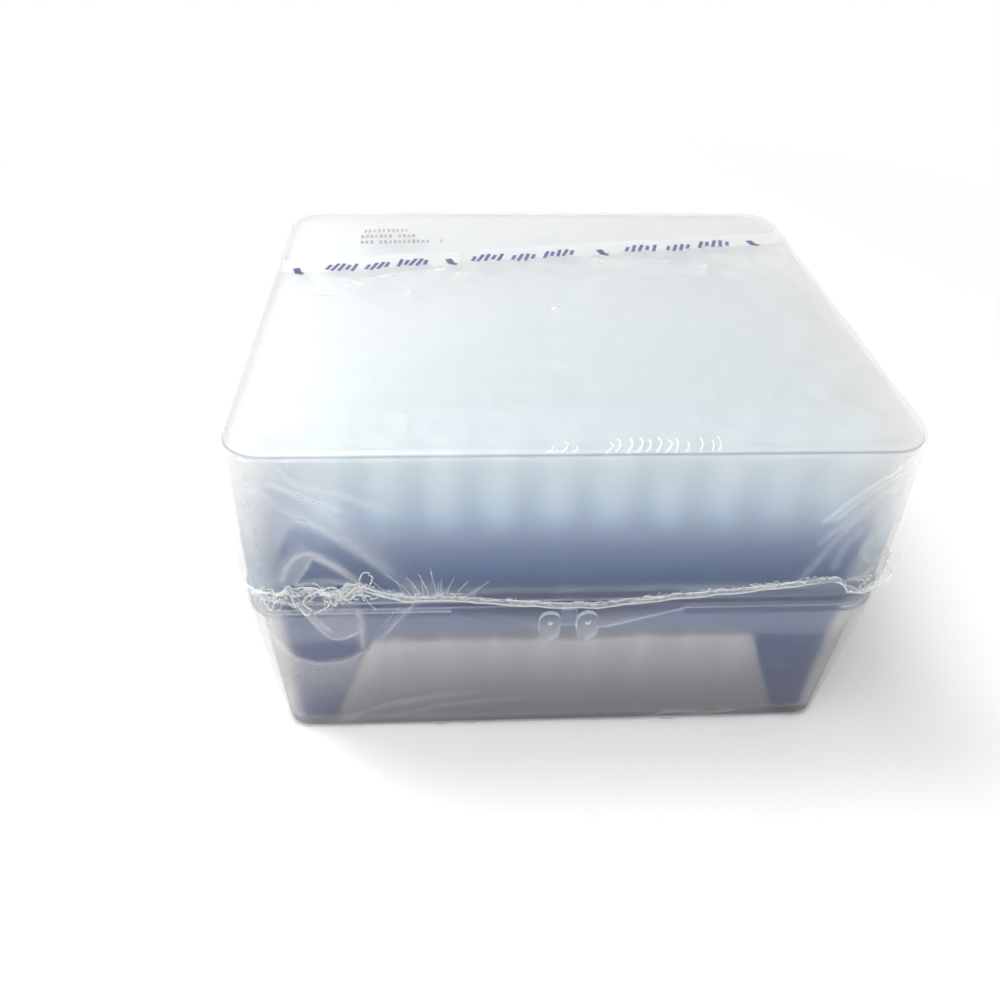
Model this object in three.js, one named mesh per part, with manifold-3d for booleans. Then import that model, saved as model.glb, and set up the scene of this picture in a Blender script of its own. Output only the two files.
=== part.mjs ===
// Sealed box of 1000 microlitre pipette tips: a frosted hinged box, a blue rack full of tips,
// and the clear shrink film with its tear strip that keeps the box shut.
// Millimetres, +Z up. The front, with the lid's latch, faces -Y. The origin is under the middle.
import * as THREE from "three";
import { mergeVertices } from "three/addons/utils/BufferGeometryUtils.js";
import Module from "manifold-3d";

const wasm = await Module();
wasm.setup();

// ---------------------------------------------------------------- driving dimensions

const CLEARANCE = 0.3; // left between pieces that touch
const PAST = 1; // how far a cut runs past what it cuts
const CORNER_STEPS = 2; // half the facets round each upright corner of the box
const FILLET_STEPS = 3; // facets between the lid's walls and its top

// Box: outside of the lid's top, and heights above the base's foot
const LID_WIDTH = 126;
const LID_DEPTH = 110;
const BOX_HEIGHT = 77;
const RIM_HEIGHT = 39.5; // where the lid meets the base
const CORNER_RADIUS = 8;

// Lid
const LID_WALL = 1.4;
const LID_FLARE = 0.3; // the lid's mouth stands out this much past its top
const LID_TOP_FILLET = 1.5;
const BEAD_OUT = 0.5; // rim bead, past the lid's wall
const BEAD_HEIGHT = 2.2;
const GATE_RADIUS = 1.4; // moulding mark in the middle of the lid
const GATE_HEIGHT = 0.2;

// Base
const BASE_WALL = 1.5;
const BASE_FLOOR = 2;
const BASE_SHOULDER = 1; // the wall's top edge, in from the lid's top outline
const BASE_TAPER = 1.8; // further in at the foot
const FOOT_CHAMFER = 0.8;
const FOOT_WIDTH = 6; // ring that the base stands on
const FOOT_RECESS = 0.8;
const FLANGE_HEIGHT = 2;
const LIP_HEIGHT = 3; // upstand that locates the lid
const LIP_WALL = 1.2;

// Latch: a shallow V-shaped thumb tab on the lid, with two upright lugs
const TAB_HALF_TOP = 23;
const TAB_HALF_BOTTOM = 6.5;
const TAB_DROP = 5.5;
const TAB_WALL = 1.2;
const LUG_OFFSET = 3.75;
const LUG_WIDTH = 4.2;
const LUG_DROP = 8.5;
const LUG_OUT = 1;
const CATCH_DROP = 6.2;
const CATCH_HEIGHT = 1.6;
const HOOK_IN = 0.6;

// Hinge: two snap hinges at the back
const HINGE_SPACING = 70;
const HINGE_RADIUS = 2;
const KNUCKLE_WIDTH = 7;
const EAR_WIDTH = 2;
const PIN_RADIUS = 1;
const HINGE_REACH = 6; // how far its webs run up and down the walls

// Rack
const DECK_THICKNESS = 2;
const DECK_EDGE = 0.8;
const DECK_SPLIT = 0.05; // between the deck's frame and its strips
const RACK_WALL = 1.5;
const RACK_SIDE_GAP = 0.6; // between the rack's foot and the base's wall
const RACK_TAPER = 1.7;
const ARCH_HEIGHT = 28.8; // above the base's foot
const ARCH_LEG_FOOT = 13; // from the lid's outline to the arch, at the foot
const ARCH_LEG_TOP = 24; // and at the arch's top
const ARCH_RADIUS = 6;

// Tips, in staggered rows
const TIP_COLUMNS = 10;
const TIP_ROWS = 10;
const TIP_PITCH = 10.9;
const TIP_HEADROOM = 2.1; // from a seated tip's rim to the lid's ceiling
const TIP_FOOTROOM = 0.5; // from its point to the base's floor
const TIP_RISE = 19.5; // how far it stands above the deck
const TIP_SIDES = 7;
const INNER_TIP_SIDES = 6;
const COLLAR_RADIUS = 4.6;
const MOUTH_RADIUS = 4.4;
const BORE_RADIUS = 3.8;
const BODY_RADIUS = 3.7;
const SHANK_RADIUS = 2.7;
const SHANK_DROP = 18; // from the deck to where the shank turns slim
const POINT_RADIUS = 0.5;
const POINT_BORE = 0.25;

// Shrink film and its weld
const FILM = 0.2;
const SLOPE_RUN = 3; // how far past a lug or hinge the film takes to lie back on the box
const WAIST_HIGH = 8; // the film hangs straight over the rim to this far above it
const SEAM_THICKNESS = 0.4;
const SEAM_WIDTH = 1.6;
const SEAM_RISE = 1.8; // above the rim, at the latch
const SEAM_CLIMB = 4; // further up at the front corners
const SEAM_STATIONS = 64;
const RUFFLE_REACH = 3.4; // extra width of the weld where it gathers at the front corners
const RUFFLE_HEIGHT = 0.9;
const RUFFLE_PITCH = 7;
const RUFFLE_SPAN = 14; // along the film, to each side of a corner
const VENT_RADIUS = 1.5;
const VENT_HEIGHT = 62;

// Tear strip
const STRIP_WIDTH = 7;
const STRIP_THICKNESS = 0.15;
const STRIP_CENTRE = 29; // behind the middle of the lid
const STRIP_SLOPE = 0.15; // it runs a little askew
const STRIP_DROP = 20; // down each side of the lid

// ---------------------------------------------------------------- derived sizes

const halfX = LID_WIDTH / 2;
const halfY = LID_DEPTH / 2;
const footLevel = FILM + CLEARANCE;
const lidBottom = RIM_HEIGHT + CLEARANCE;
const flangeBottom = RIM_HEIGHT - FLANGE_HEIGHT;
const rimOut = LID_FLARE + BEAD_OUT; // outermost line of the rim, past the lid's top outline
const lipOut = LID_FLARE - LID_WALL - CLEARANCE;
const footOut = -BASE_SHOULDER - BASE_TAPER;
const tabFront = halfY + rimOut; // distances in front of the middle
const tabBack = tabFront - TAB_WALL;
const lugReach = LUG_OFFSET + LUG_WIDTH / 2;
const hingeY = halfY + rimOut + CLEARANCE + HINGE_RADIUS;
const hingeHalfWidth = KNUCKLE_WIDTH / 2 + CLEARANCE + EAR_WIDTH;
const rowPitch = TIP_PITCH * Math.sin(Math.PI / 3);
const stripGap = (CLEARANCE - STRIP_THICKNESS) / 2;
const tipTop = BOX_HEIGHT - LID_WALL - TIP_HEADROOM;
const deckHeight = tipTop - TIP_RISE;
const tipLength = tipTop - BASE_FLOOR - TIP_FOOTROOM;

// ---------------------------------------------------------------- materials

function plastic(color, roughness, opacity = 1) {
  return new THREE.MeshStandardMaterial({
    color,
    roughness,
    metalness: 0,
    opacity,
    transparent: opacity < 1,
  });
}

const frosted = plastic(0xdfe6ea, 0.55, 0.5);
const blue = plastic(0x3a4a94, 0.5);
const tipPlastic = plastic(0xe8edf2, 0.35, 0.8);
const clearFilm = plastic(0xf4f6f8, 0.15, 0.25);
const tape = plastic(0xf1efe4, 0.3, 0.7);

// ---------------------------------------------------------------- solids

// A closed geometry as a manifold solid.
function solid(geometry) {
  const bare = geometry.clone();
  bare.deleteAttribute("normal");
  bare.deleteAttribute("uv");
  const merged = mergeVertices(bare, 1e-4);
  return new wasm.Manifold(
    new wasm.Mesh({
      numProp: 3,
      vertProperties: new Float32Array(merged.attributes.position.array),
      triVerts: new Uint32Array(merged.index.array),
    }),
  );
}

function toMesh(name, shape, material) {
  const data = shape.getMesh();
  const geometry = new THREE.BufferGeometry();
  geometry.setAttribute("position", new THREE.BufferAttribute(data.vertProperties, 3));
  geometry.setIndex(new THREE.BufferAttribute(data.triVerts, 1));
  geometry.computeVertexNormals();
  const mesh = new THREE.Mesh(geometry, material);
  mesh.name = name;
  return mesh;
}

// Outline of the box's plan, moved out by `out` from the lid's top outline, anticlockwise from
// the right. Stops, distances each way from the middle, add points along its straight sides.
function planOutline(out, stopsX = [], stopsY = []) {
  const x = halfX + out;
  const y = halfY + out;
  const r = CORNER_RADIUS + out;
  const acrossX = [...stopsX, ...stopsX.map((stop) => -stop).reverse()];
  const acrossY = [...stopsY, ...stopsY.map((stop) => -stop).reverse()];
  const shape = new THREE.Shape();
  shape.absarc(x - r, y - r, r, 0, Math.PI / 2);
  for (const stop of acrossX) shape.lineTo(stop, y);
  shape.absarc(-x + r, y - r, r, Math.PI / 2, Math.PI);
  for (const stop of acrossY) shape.lineTo(-x, stop);
  shape.absarc(-x + r, -y + r, r, Math.PI, 1.5 * Math.PI);
  for (const stop of acrossX) shape.lineTo(-stop, -y);
  shape.absarc(x - r, -y + r, r, 1.5 * Math.PI, 2 * Math.PI);
  for (const stop of acrossY) shape.lineTo(x, -stop);
  return shape.getPoints(CORNER_STEPS);
}

// A closed solid through rings with equally many points, flat at both ends.
function loft(rings) {
  const count = rings[0].length;
  const last = (rings.length - 1) * count;
  const position = rings.flat().flatMap((p) => [p.x, p.y, p.z]);
  const index = [];
  for (let row = 0; row + 1 < rings.length; row++)
    for (let i = 0; i < count; i++) {
      const a = row * count + i;
      const b = row * count + ((i + 1) % count);
      index.push(a, b, b + count, a, b + count, a + count);
    }
  for (let i = 1; i + 1 < count; i++) index.push(0, i + 1, i, last, last + i, last + i + 1);
  const geometry = new THREE.BufferGeometry();
  geometry.setAttribute("position", new THREE.Float32BufferAttribute(position, 3));
  geometry.setIndex(index);
  return solid(geometry);
}

// A block with the box's plan, following [out, z] pairs from the bottom up.
function block(profile) {
  return loft(profile.map(([out, z]) => planOutline(out).map((p) => new THREE.Vector3(p.x, p.y, z))));
}

function cylinder(radius, length, sides, place) {
  return solid(new THREE.CylinderGeometry(radius, radius, length, sides).applyMatrix4(place));
}

// A box from its low corner to its high corner.
function boxBetween(low, high) {
  const size = high.clone().sub(low);
  const middle = low.clone().add(high).multiplyScalar(0.5);
  return solid(
    new THREE.BoxGeometry(size.x, size.y, size.z).translate(middle.x, middle.y, middle.z),
  );
}

// A shape drawn as seen from the front, x to the right and z up, running from y0 back to y1.
function fromFront(shape, y0, y1) {
  const geometry = new THREE.ExtrudeGeometry(shape, {
    depth: y1 - y0,
    bevelEnabled: false,
    curveSegments: 4,
  });
  return solid(geometry.rotateX(Math.PI / 2).translate(0, y1, 0));
}

// A shape drawn as seen from the right, y to the right and z up, running from x0 to x1.
function fromSide(shape, x0, x1) {
  const geometry = new THREE.ExtrudeGeometry(shape, {
    depth: x1 - x0,
    bevelEnabled: false,
    curveSegments: 6,
  });
  return solid(geometry.rotateX(Math.PI / 2).rotateZ(Math.PI / 2).translate(x0, 0, 0));
}

const alongX = (x, y, z) => new THREE.Matrix4().makeRotationZ(Math.PI / 2).setPosition(x, y, z);
const alongZ = (x, y, z) => new THREE.Matrix4().makeRotationX(Math.PI / 2).setPosition(x, y, z);

function union(parts) {
  return wasm.Manifold.union(parts);
}

// ---------------------------------------------------------------- base

// One ear of the base's hinge, from the right: up the wall, round the pin and back to the flange.
function earOutline() {
  const wall = halfY - BASE_SHOULDER - BASE_WALL / 2;
  const clear = halfY + rimOut + CLEARANCE;
  const ear = new THREE.Shape();
  ear.moveTo(wall, RIM_HEIGHT - HINGE_REACH);
  ear.absarc(hingeY, RIM_HEIGHT, HINGE_RADIUS, -Math.PI / 2, Math.PI / 2);
  ear.lineTo(clear, RIM_HEIGHT + HINGE_RADIUS);
  ear.lineTo(clear, RIM_HEIGHT);
  ear.lineTo(wall, RIM_HEIGHT);
  return ear;
}

function makeBase() {
  const outside = block([
    [footOut - FOOT_CHAMFER, 0],
    [footOut, FOOT_CHAMFER],
    [-BASE_SHOULDER, flangeBottom],
    [rimOut, flangeBottom],
    [rimOut, RIM_HEIGHT],
    [lipOut, RIM_HEIGHT],
    [lipOut, RIM_HEIGHT + LIP_HEIGHT],
  ]);
  const inside = block([
    [footOut - BASE_WALL, BASE_FLOOR],
    [lipOut - LIP_WALL, RIM_HEIGHT + LIP_HEIGHT + PAST],
  ]);
  const footRecess = block([
    [footOut - FOOT_WIDTH, -PAST],
    [footOut - FOOT_WIDTH, FOOT_RECESS],
  ]);
  const tabRecess = boxBetween(
    new THREE.Vector3(-TAB_HALF_TOP - CLEARANCE, -tabFront - PAST, flangeBottom - PAST),
    new THREE.Vector3(TAB_HALF_TOP + CLEARANCE, -tabBack + CLEARANCE, RIM_HEIGHT + PAST),
  );
  const catchWedge = new THREE.Shape();
  catchWedge.moveTo(-halfY + BASE_SHOULDER + BASE_WALL / 2, RIM_HEIGHT - CATCH_DROP);
  catchWedge.lineTo(-halfY + BASE_SHOULDER + BASE_WALL / 2, RIM_HEIGHT - CATCH_DROP + CATCH_HEIGHT);
  catchWedge.lineTo(-tabBack + CLEARANCE, RIM_HEIGHT - CATCH_DROP);
  const additions = [fromSide(catchWedge, -lugReach, lugReach)];
  const holes = [];
  for (const side of [-1, 1]) {
    const middle = (side * HINGE_SPACING) / 2;
    const earMiddle = hingeHalfWidth - EAR_WIDTH / 2;
    for (const x of [middle - earMiddle, middle + earMiddle])
      additions.push(fromSide(earOutline(), x - EAR_WIDTH / 2, x + EAR_WIDTH / 2));
    const pinHole = alongX(middle, hingeY, RIM_HEIGHT);
    holes.push(cylinder(PIN_RADIUS + CLEARANCE, 2 * hingeHalfWidth + PAST, 10, pinHole));
  }
  return union([outside.subtract(tabRecess), ...additions])
    .subtract(union([inside, footRecess, ...holes]));
}

// ---------------------------------------------------------------- lid

// Quarter round from the lid's wall to its top, as [out, z] pairs, `grow` outside the lid.
function topFillet(grow) {
  const radius = LID_TOP_FILLET + grow;
  const pairs = [];
  for (let i = 0; i <= FILLET_STEPS; i++) {
    const turn = ((i / FILLET_STEPS) * Math.PI) / 2;
    pairs.push([
      radius * Math.cos(turn) - LID_TOP_FILLET,
      BOX_HEIGHT - LID_TOP_FILLET + radius * Math.sin(turn),
    ]);
  }
  return pairs;
}

// V-shaped thumb tab with the gap between its lugs.
function tabOutline() {
  const gap = LUG_OFFSET - LUG_WIDTH / 2;
  const half = [
    [TAB_HALF_TOP, lidBottom + BEAD_HEIGHT / 2],
    [TAB_HALF_TOP, RIM_HEIGHT - CLEARANCE],
    [TAB_HALF_BOTTOM, RIM_HEIGHT - TAB_DROP],
    [gap, RIM_HEIGHT - TAB_DROP],
    [gap, RIM_HEIGHT - CLEARANCE],
  ];
  const mirrored = half.map(([x, z]) => [-x, z]).reverse();
  return new THREE.Shape([...half, ...mirrored].map(([x, z]) => new THREE.Vector2(x, z)).reverse());
}

function lugOutline(middle) {
  const r = LUG_WIDTH / 2;
  const lug = new THREE.Shape();
  lug.absarc(middle, RIM_HEIGHT - LUG_DROP + r, r, Math.PI, 2 * Math.PI);
  lug.absarc(middle, RIM_HEIGHT - CLEARANCE - r, r, 0, Math.PI);
  return lug;
}

// Knuckle that hangs from the lid's bead between two ears, from the right.
function knuckleOutline() {
  const wall = halfY + LID_FLARE - LID_WALL / 2;
  const knuckle = new THREE.Shape();
  knuckle.moveTo(wall, lidBottom);
  knuckle.lineTo(hingeY - HINGE_RADIUS, lidBottom);
  knuckle.absarc(hingeY, RIM_HEIGHT, HINGE_RADIUS, Math.PI, 2.5 * Math.PI);
  knuckle.lineTo(wall, lidBottom + HINGE_REACH);
  return knuckle;
}

function makeLid() {
  const outside = block([
    [rimOut, lidBottom],
    [rimOut, lidBottom + BEAD_HEIGHT],
    [LID_FLARE, lidBottom + BEAD_HEIGHT],
    ...topFillet(0),
  ]);
  const ceiling = BOX_HEIGHT - LID_WALL;
  const inside = block([
    [LID_FLARE - LID_WALL, lidBottom - PAST],
    [-LID_WALL, ceiling - LID_TOP_FILLET / 2],
    [-LID_WALL - LID_TOP_FILLET / 2, ceiling],
  ]);
  const gateMark = alongZ(0, 0, BOX_HEIGHT);
  const pieces = [
    outside.subtract(inside),
    cylinder(GATE_RADIUS, 2 * GATE_HEIGHT, 10, gateMark),
    fromFront(tabOutline(), -tabFront, -tabBack),
  ];
  const hook = new THREE.Shape();
  const hookBottom = RIM_HEIGHT - LUG_DROP + LUG_WIDTH / 4;
  const hookTop = RIM_HEIGHT - CATCH_DROP - CLEARANCE;
  hook.moveTo(-tabBack - TAB_WALL / 2, hookBottom);
  hook.lineTo(-tabBack, hookBottom);
  hook.lineTo(-tabBack + HOOK_IN, hookTop);
  hook.lineTo(-tabBack - TAB_WALL / 2, hookTop);
  for (const side of [-1, 1]) {
    const lug = side * LUG_OFFSET;
    const hinge = (side * HINGE_SPACING) / 2;
    const pinPlace = alongX(hinge, hingeY, RIM_HEIGHT);
    pieces.push(
      fromFront(lugOutline(lug), -tabFront - LUG_OUT, -tabBack),
      fromSide(hook, lug - LUG_WIDTH / 4, lug + LUG_WIDTH / 4),
      fromSide(knuckleOutline(), hinge - KNUCKLE_WIDTH / 2, hinge + KNUCKLE_WIDTH / 2),
      cylinder(PIN_RADIUS, 2 * hingeHalfWidth, 10, pinPlace),
    );
  }
  return union(pieces);
}

// ---------------------------------------------------------------- tips

// A tip, turned from its section: from the point up the outside and down the bore. Heights are from
// the deck, and the collar sits at height `seat`.
function tipGeometry(sides, seat, shank) {
  const point = TIP_RISE - tipLength;
  const section = [
    [POINT_RADIUS, point],
    ...shank,
    [BODY_RADIUS, seat],
    [COLLAR_RADIUS, seat],
    [MOUTH_RADIUS, TIP_RISE],
    [BORE_RADIUS, TIP_RISE],
    [POINT_BORE, point],
    [POINT_RADIUS, point],
  ];
  const outline = section.map(([r, z]) => new THREE.Vector2(r, z));
  return new THREE.LatheGeometry(outline, sides).rotateX(Math.PI / 2);
}

// Bore of a tip that is one with the deck, a little longer than the tip at both ends.
function boreGeometry(sides) {
  const taper = (BORE_RADIUS - POINT_BORE) / tipLength;
  const over = 0.5;
  return new THREE.CylinderGeometry(
    BORE_RADIUS + over * taper,
    POINT_BORE - over * taper,
    tipLength + 2 * over,
    sides,
  ).rotateX(Math.PI / 2).translate(0, 0, TIP_RISE - tipLength / 2);
}

// Middle of each row of tips on the deck. Rows are staggered half a pitch.
function rowMiddle(row) {
  const stagger = row % 2 === 0 ? TIP_PITCH / 4 : -TIP_PITCH / 4;
  return new THREE.Vector3(stagger, (row - (TIP_ROWS - 1) / 2) * rowPitch, deckHeight);
}

// Places of the tips round the rim of the field.
function outerPlaces() {
  const places = [];
  for (let row = 0; row < TIP_ROWS; row++)
    for (let column = 0; column < TIP_COLUMNS; column++)
      if (row % (TIP_ROWS - 1) === 0 || column % (TIP_COLUMNS - 1) === 0) {
        const at = rowMiddle(row);
        at.x += (column - (TIP_COLUMNS - 1) / 2) * TIP_PITCH;
        places.push({ row, column, at });
      }
  return places;
}

// ---------------------------------------------------------------- rack

// Opening in a skirt wall of the given half length: a trapezium with rounded shoulders.
function archOutline(half) {
  const slope = (ARCH_LEG_TOP - ARCH_LEG_FOOT) / ARCH_HEIGHT;
  const foot = half - ARCH_LEG_FOOT;
  const top = half - ARCH_LEG_TOP;
  const shoulder = ARCH_HEIGHT - ARCH_RADIUS;
  const arch = new THREE.Shape();
  arch.moveTo(-foot, 0);
  arch.lineTo(foot, 0);
  arch.lineTo(top + slope * ARCH_RADIUS, shoulder);
  arch.quadraticCurveTo(top, ARCH_HEIGHT, top - ARCH_RADIUS, ARCH_HEIGHT);
  arch.lineTo(-top + ARCH_RADIUS, ARCH_HEIGHT);
  arch.quadraticCurveTo(-top, ARCH_HEIGHT, -top - slope * ARCH_RADIUS, shoulder);
  return arch;
}

// Strip of the deck between the outer tips of one inner row: `gap` short of its neighbours all
// round, and `extra` thicker both ways.
function deckStrip(gap, extra) {
  const x = ((TIP_COLUMNS - 2) / 2) * TIP_PITCH - gap;
  const y = rowPitch / 2 - gap;
  return boxBetween(
    new THREE.Vector3(-x, -y, -DECK_THICKNESS - extra),
    new THREE.Vector3(x, y, extra),
  );
}

// Skirt, and the frame of the deck that holds the outer tips.
function makeRack() {
  const foot = footOut - BASE_WALL - RACK_SIDE_GAP;
  const top = foot + RACK_TAPER;
  const bottom = BASE_FLOOR + CLEARANCE;
  const outside = block([
    [foot, bottom],
    [top, deckHeight - DECK_EDGE],
    [top - DECK_EDGE, deckHeight],
  ]);
  const inside = block([
    [foot - RACK_WALL, bottom - PAST],
    [top - RACK_WALL, deckHeight - DECK_THICKNESS],
  ]);
  const hole = cylinder(
    BODY_RADIUS + CLEARANCE,
    2 * (DECK_THICKNESS + PAST),
    TIP_SIDES,
    alongZ(0, 0, 0),
  );
  const cuts = [
    inside,
    fromFront(archOutline(halfX), -halfY, halfY),
    fromSide(archOutline(halfY), -halfX, halfX),
    ...outerPlaces().map(({ at }) => hole.translate(at.x, at.y, at.z)),
  ];
  for (let row = 1; row < TIP_ROWS - 1; row++) {
    const at = rowMiddle(row);
    cuts.push(deckStrip(0, PAST).translate(at.x, at.y, at.z));
  }
  return outside.subtract(union(cuts));
}

// One inner row: a strip of the deck, one with the tips between the row's two outer ones.
function makeRackRow() {
  const tip = solid(tipGeometry(INNER_TIP_SIDES, 0, []));
  const bore = solid(boreGeometry(INNER_TIP_SIDES));
  const inner = TIP_COLUMNS - 2;
  const spread = (shape) =>
    union(
      Array.from({ length: inner }, (_, i) =>
        shape.translate((i - (inner - 1) / 2) * TIP_PITCH, 0, 0),
      ),
    );
  return deckStrip(DECK_SPLIT, 0).add(spread(tip)).subtract(spread(bore));
}

// ---------------------------------------------------------------- shrink film

// How far the film's side stands out at height z, where nothing pushes it further.
function filmOut(z) {
  const knots = [
    [FOOT_CHAMFER, footOut],
    [flangeBottom, rimOut],
    [RIM_HEIGHT + WAIST_HIGH, rimOut],
    [BOX_HEIGHT - LID_TOP_FILLET, 0],
  ];
  const next = knots.findIndex(([level]) => z <= level);
  if (next <= 0) return knots.at(next)[1];
  const [z0, out0] = knots[next - 1];
  const [z1, out1] = knots[next];
  return THREE.MathUtils.mapLinear(z, z0, z1, out0, out1);
}

// Film side, bottom to top: height, and how fully the lugs and the hinges push it out there.
function filmRows() {
  const lugLow = RIM_HEIGHT - LUG_DROP - CLEARANCE;
  const hingeLow = RIM_HEIGHT - HINGE_RADIUS - CLEARANCE;
  const hingeHigh = RIM_HEIGHT + HINGE_RADIUS + CLEARANCE;
  return [
    { z: FOOT_CHAMFER, lug: 0, hinge: 0 },
    { z: lugLow - SLOPE_RUN, lug: 0, hinge: 0 },
    { z: lugLow, lug: 1, hinge: 0.3 },
    { z: hingeLow, lug: 1, hinge: 1 },
    { z: RIM_HEIGHT, lug: 1, hinge: 1 },
    { z: RIM_HEIGHT + SEAM_RISE - SEAM_THICKNESS, lug: 0, hinge: 1 },
    { z: hingeHigh, lug: 0, hinge: 1 },
    { z: RIM_HEIGHT + WAIST_HIGH + SLOPE_RUN, lug: 0, hinge: 0 },
  ];
}

// Solid inside the skin that lies `gap` outside the box, pushed out over the lugs and the hinges.
function filmBlock(gap) {
  const lugStop = lugReach + CLEARANCE;
  const hingeStop = HINGE_SPACING / 2 + hingeHalfWidth + CLEARANCE;
  const stopsX = [hingeStop, HINGE_SPACING - hingeStop, lugStop];
  const ring = (out, z, lug = 0, hinge = 0) =>
    planOutline(out, stopsX, [halfY / 3]).map((p) => {
      const overLug = p.y < 0 && Math.abs(p.x) <= lugStop;
      const overHinge = p.y > 0 && Math.abs(p.x) > lugStop && Math.abs(p.x) <= hingeStop;
      const lugPush = overLug ? lug * (tabFront + LUG_OUT + gap - halfY - out) : 0;
      const hingePush = overHinge ? hinge * (hingeY + HINGE_RADIUS + gap - halfY - out) : 0;
      return new THREE.Vector3(p.x, p.y + hingePush - lugPush, z);
    });
  return loft([
    ring(footOut - FOOT_CHAMFER + gap / 2, -gap),
    ...filmRows().map((row) => ring(filmOut(row.z) + gap, row.z, row.lug, row.hinge)),
    ...topFillet(gap).map(([out, z]) => ring(out, z)),
  ]);
}

// Weld along the front and both sides: a thin fin that climbs towards the front corners, where it
// widens into ruffles.
function makeWeld() {
  const out = rimOut + CLEARANCE + FILM / 2;
  const x = halfX + out;
  const y = halfY + out;
  const r = CORNER_RADIUS + out;
  const path = new THREE.Path();
  path.moveTo(-x, y - 2 * r);
  path.lineTo(-x, -y + r);
  path.absarc(-x + r, -y + r, r, Math.PI, 1.5 * Math.PI);
  path.absarc(x - r, -y + r, r, 1.5 * Math.PI, 2 * Math.PI);
  path.lineTo(x, y - 2 * r);
  const length = path.getLength();
  const frontHalf = x - r + (Math.PI / 4) * r;
  const stations = [];
  for (let i = 0; i <= SEAM_STATIONS; i++) {
    const u = i / SEAM_STATIONS;
    const place = path.getPointAt(u);
    const along = path.getTangentAt(u);
    const outward = new THREE.Vector3(along.y, -along.x, 0);
    const fromMiddle = Math.abs(u - 0.5) * length;
    const fromCorner = fromMiddle - frontHalf;
    const climb = Math.min(fromMiddle / frontHalf, 1) ** 2;
    const gather = Math.max(0, 1 - Math.abs(fromCorner) / RUFFLE_SPAN);
    const wave = Math.sin((2 * Math.PI * fromCorner) / RUFFLE_PITCH);
    const root = new THREE.Vector3(place.x, place.y, RIM_HEIGHT + SEAM_RISE + SEAM_CLIMB * climb);
    const tip = root.clone().addScaledVector(outward, FILM / 2 + SEAM_WIDTH + RUFFLE_REACH * gather);
    tip.z += RUFFLE_HEIGHT * wave * gather;
    const half = new THREE.Vector3(0, 0, SEAM_THICKNESS / 2);
    stations.push([
      root.clone().sub(half),
      tip.clone().sub(half),
      tip.clone().add(half),
      root.clone().add(half),
    ]);
  }
  return loft(stations.reverse());
}

// The film, as what hangs round the box and the sheet that the box stands on.
function makeFilm() {
  const vents = [-1, 1].map((side) =>
    cylinder(
      VENT_RADIUS,
      2 * halfY,
      8,
      new THREE.Matrix4().setPosition((side * HINGE_SPACING) / 2, halfY + halfY / 2, VENT_HEIGHT),
    ),
  );
  return filmBlock(CLEARANCE + FILM)
    .add(makeWeld())
    .subtract(union([filmBlock(CLEARANCE), ...vents]))
    .splitByPlane([0, 0, 1], -CLEARANCE);
}

// Printed tape inside the film, across the lid's top and down both sides.
function makeTearStrip() {
  const low = BOX_HEIGHT - STRIP_DROP;
  const layer = (gap) => [[filmOut(low) + gap, low], ...topFillet(gap)];
  const under = layer(stripGap);
  const over = layer(stripGap + STRIP_THICKNESS);
  const station = (side) => (pair, i) => {
    const section = [];
    for (const [[out, z], across] of [[pair, -1], [pair, 1], [over[i], 1], [over[i], -1]]) {
      const x = side * (halfX + out);
      const y = STRIP_CENTRE + STRIP_SLOPE * x + (across * STRIP_WIDTH) / 2;
      section.push(new THREE.Vector3(x, y, z));
    }
    return section;
  };
  return loft([...under.map(station(-1)), ...under.map(station(1)).reverse()]);
}

// ---------------------------------------------------------------- assembly

const [filmAround, filmUnder] = makeFilm();
const box = new THREE.Group();
box.position.z = footLevel;
box.add(
  toMesh("base", makeBase(), frosted),
  toMesh("rack", makeRack(), blue),
  toMesh("lid", makeLid(), frosted.clone()),
  toMesh("film", filmAround, clearFilm),
  toMesh("film_underside", filmUnder, clearFilm.clone()),
  toMesh("tear_strip", makeTearStrip(), tape),
);

const label = (n) => String(n + 1).padStart(2, "0");
const rackRow = makeRackRow();
for (let row = 1; row < TIP_ROWS - 1; row++) {
  const strip = toMesh(`rack_row_${label(row)}`, rackRow, blue.clone());
  strip.position.copy(rowMiddle(row));
  box.add(strip);
}

const separateTip = solid(tipGeometry(TIP_SIDES, CLEARANCE, [[SHANK_RADIUS, -SHANK_DROP]]));
for (const { row, column, at } of outerPlaces()) {
  const tip = toMesh(`tip_${label(row)}_${label(column)}`, separateTip, tipPlastic.clone());
  tip.position.copy(at);
  box.add(tip);
}

export default box;
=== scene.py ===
# Looks of the sealed box of pipette tips: smooth frosted mouldings, a blue rack of round tips, and
# the shrink film with its gathers, creases, weld and tear strip. Shapes are worked out in
# millimetres, +Z up and the latch towards -Y, and turned into metres when a mesh is made.
import math

import bmesh
import bpy
import numpy as np
from mathutils import Matrix, Vector


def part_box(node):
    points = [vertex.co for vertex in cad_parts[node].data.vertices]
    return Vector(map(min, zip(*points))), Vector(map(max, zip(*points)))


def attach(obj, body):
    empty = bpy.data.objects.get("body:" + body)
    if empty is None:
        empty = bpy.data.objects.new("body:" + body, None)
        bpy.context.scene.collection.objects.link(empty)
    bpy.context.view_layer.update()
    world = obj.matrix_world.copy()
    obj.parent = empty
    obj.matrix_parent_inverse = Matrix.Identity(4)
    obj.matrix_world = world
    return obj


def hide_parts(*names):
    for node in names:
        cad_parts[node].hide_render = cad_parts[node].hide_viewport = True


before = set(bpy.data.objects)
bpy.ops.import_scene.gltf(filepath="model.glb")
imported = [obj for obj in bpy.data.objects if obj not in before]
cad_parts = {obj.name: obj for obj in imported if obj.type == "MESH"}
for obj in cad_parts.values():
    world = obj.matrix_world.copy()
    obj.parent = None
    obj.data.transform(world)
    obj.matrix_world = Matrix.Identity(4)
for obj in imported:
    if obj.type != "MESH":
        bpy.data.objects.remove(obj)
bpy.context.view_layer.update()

MM = 0.001

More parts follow.
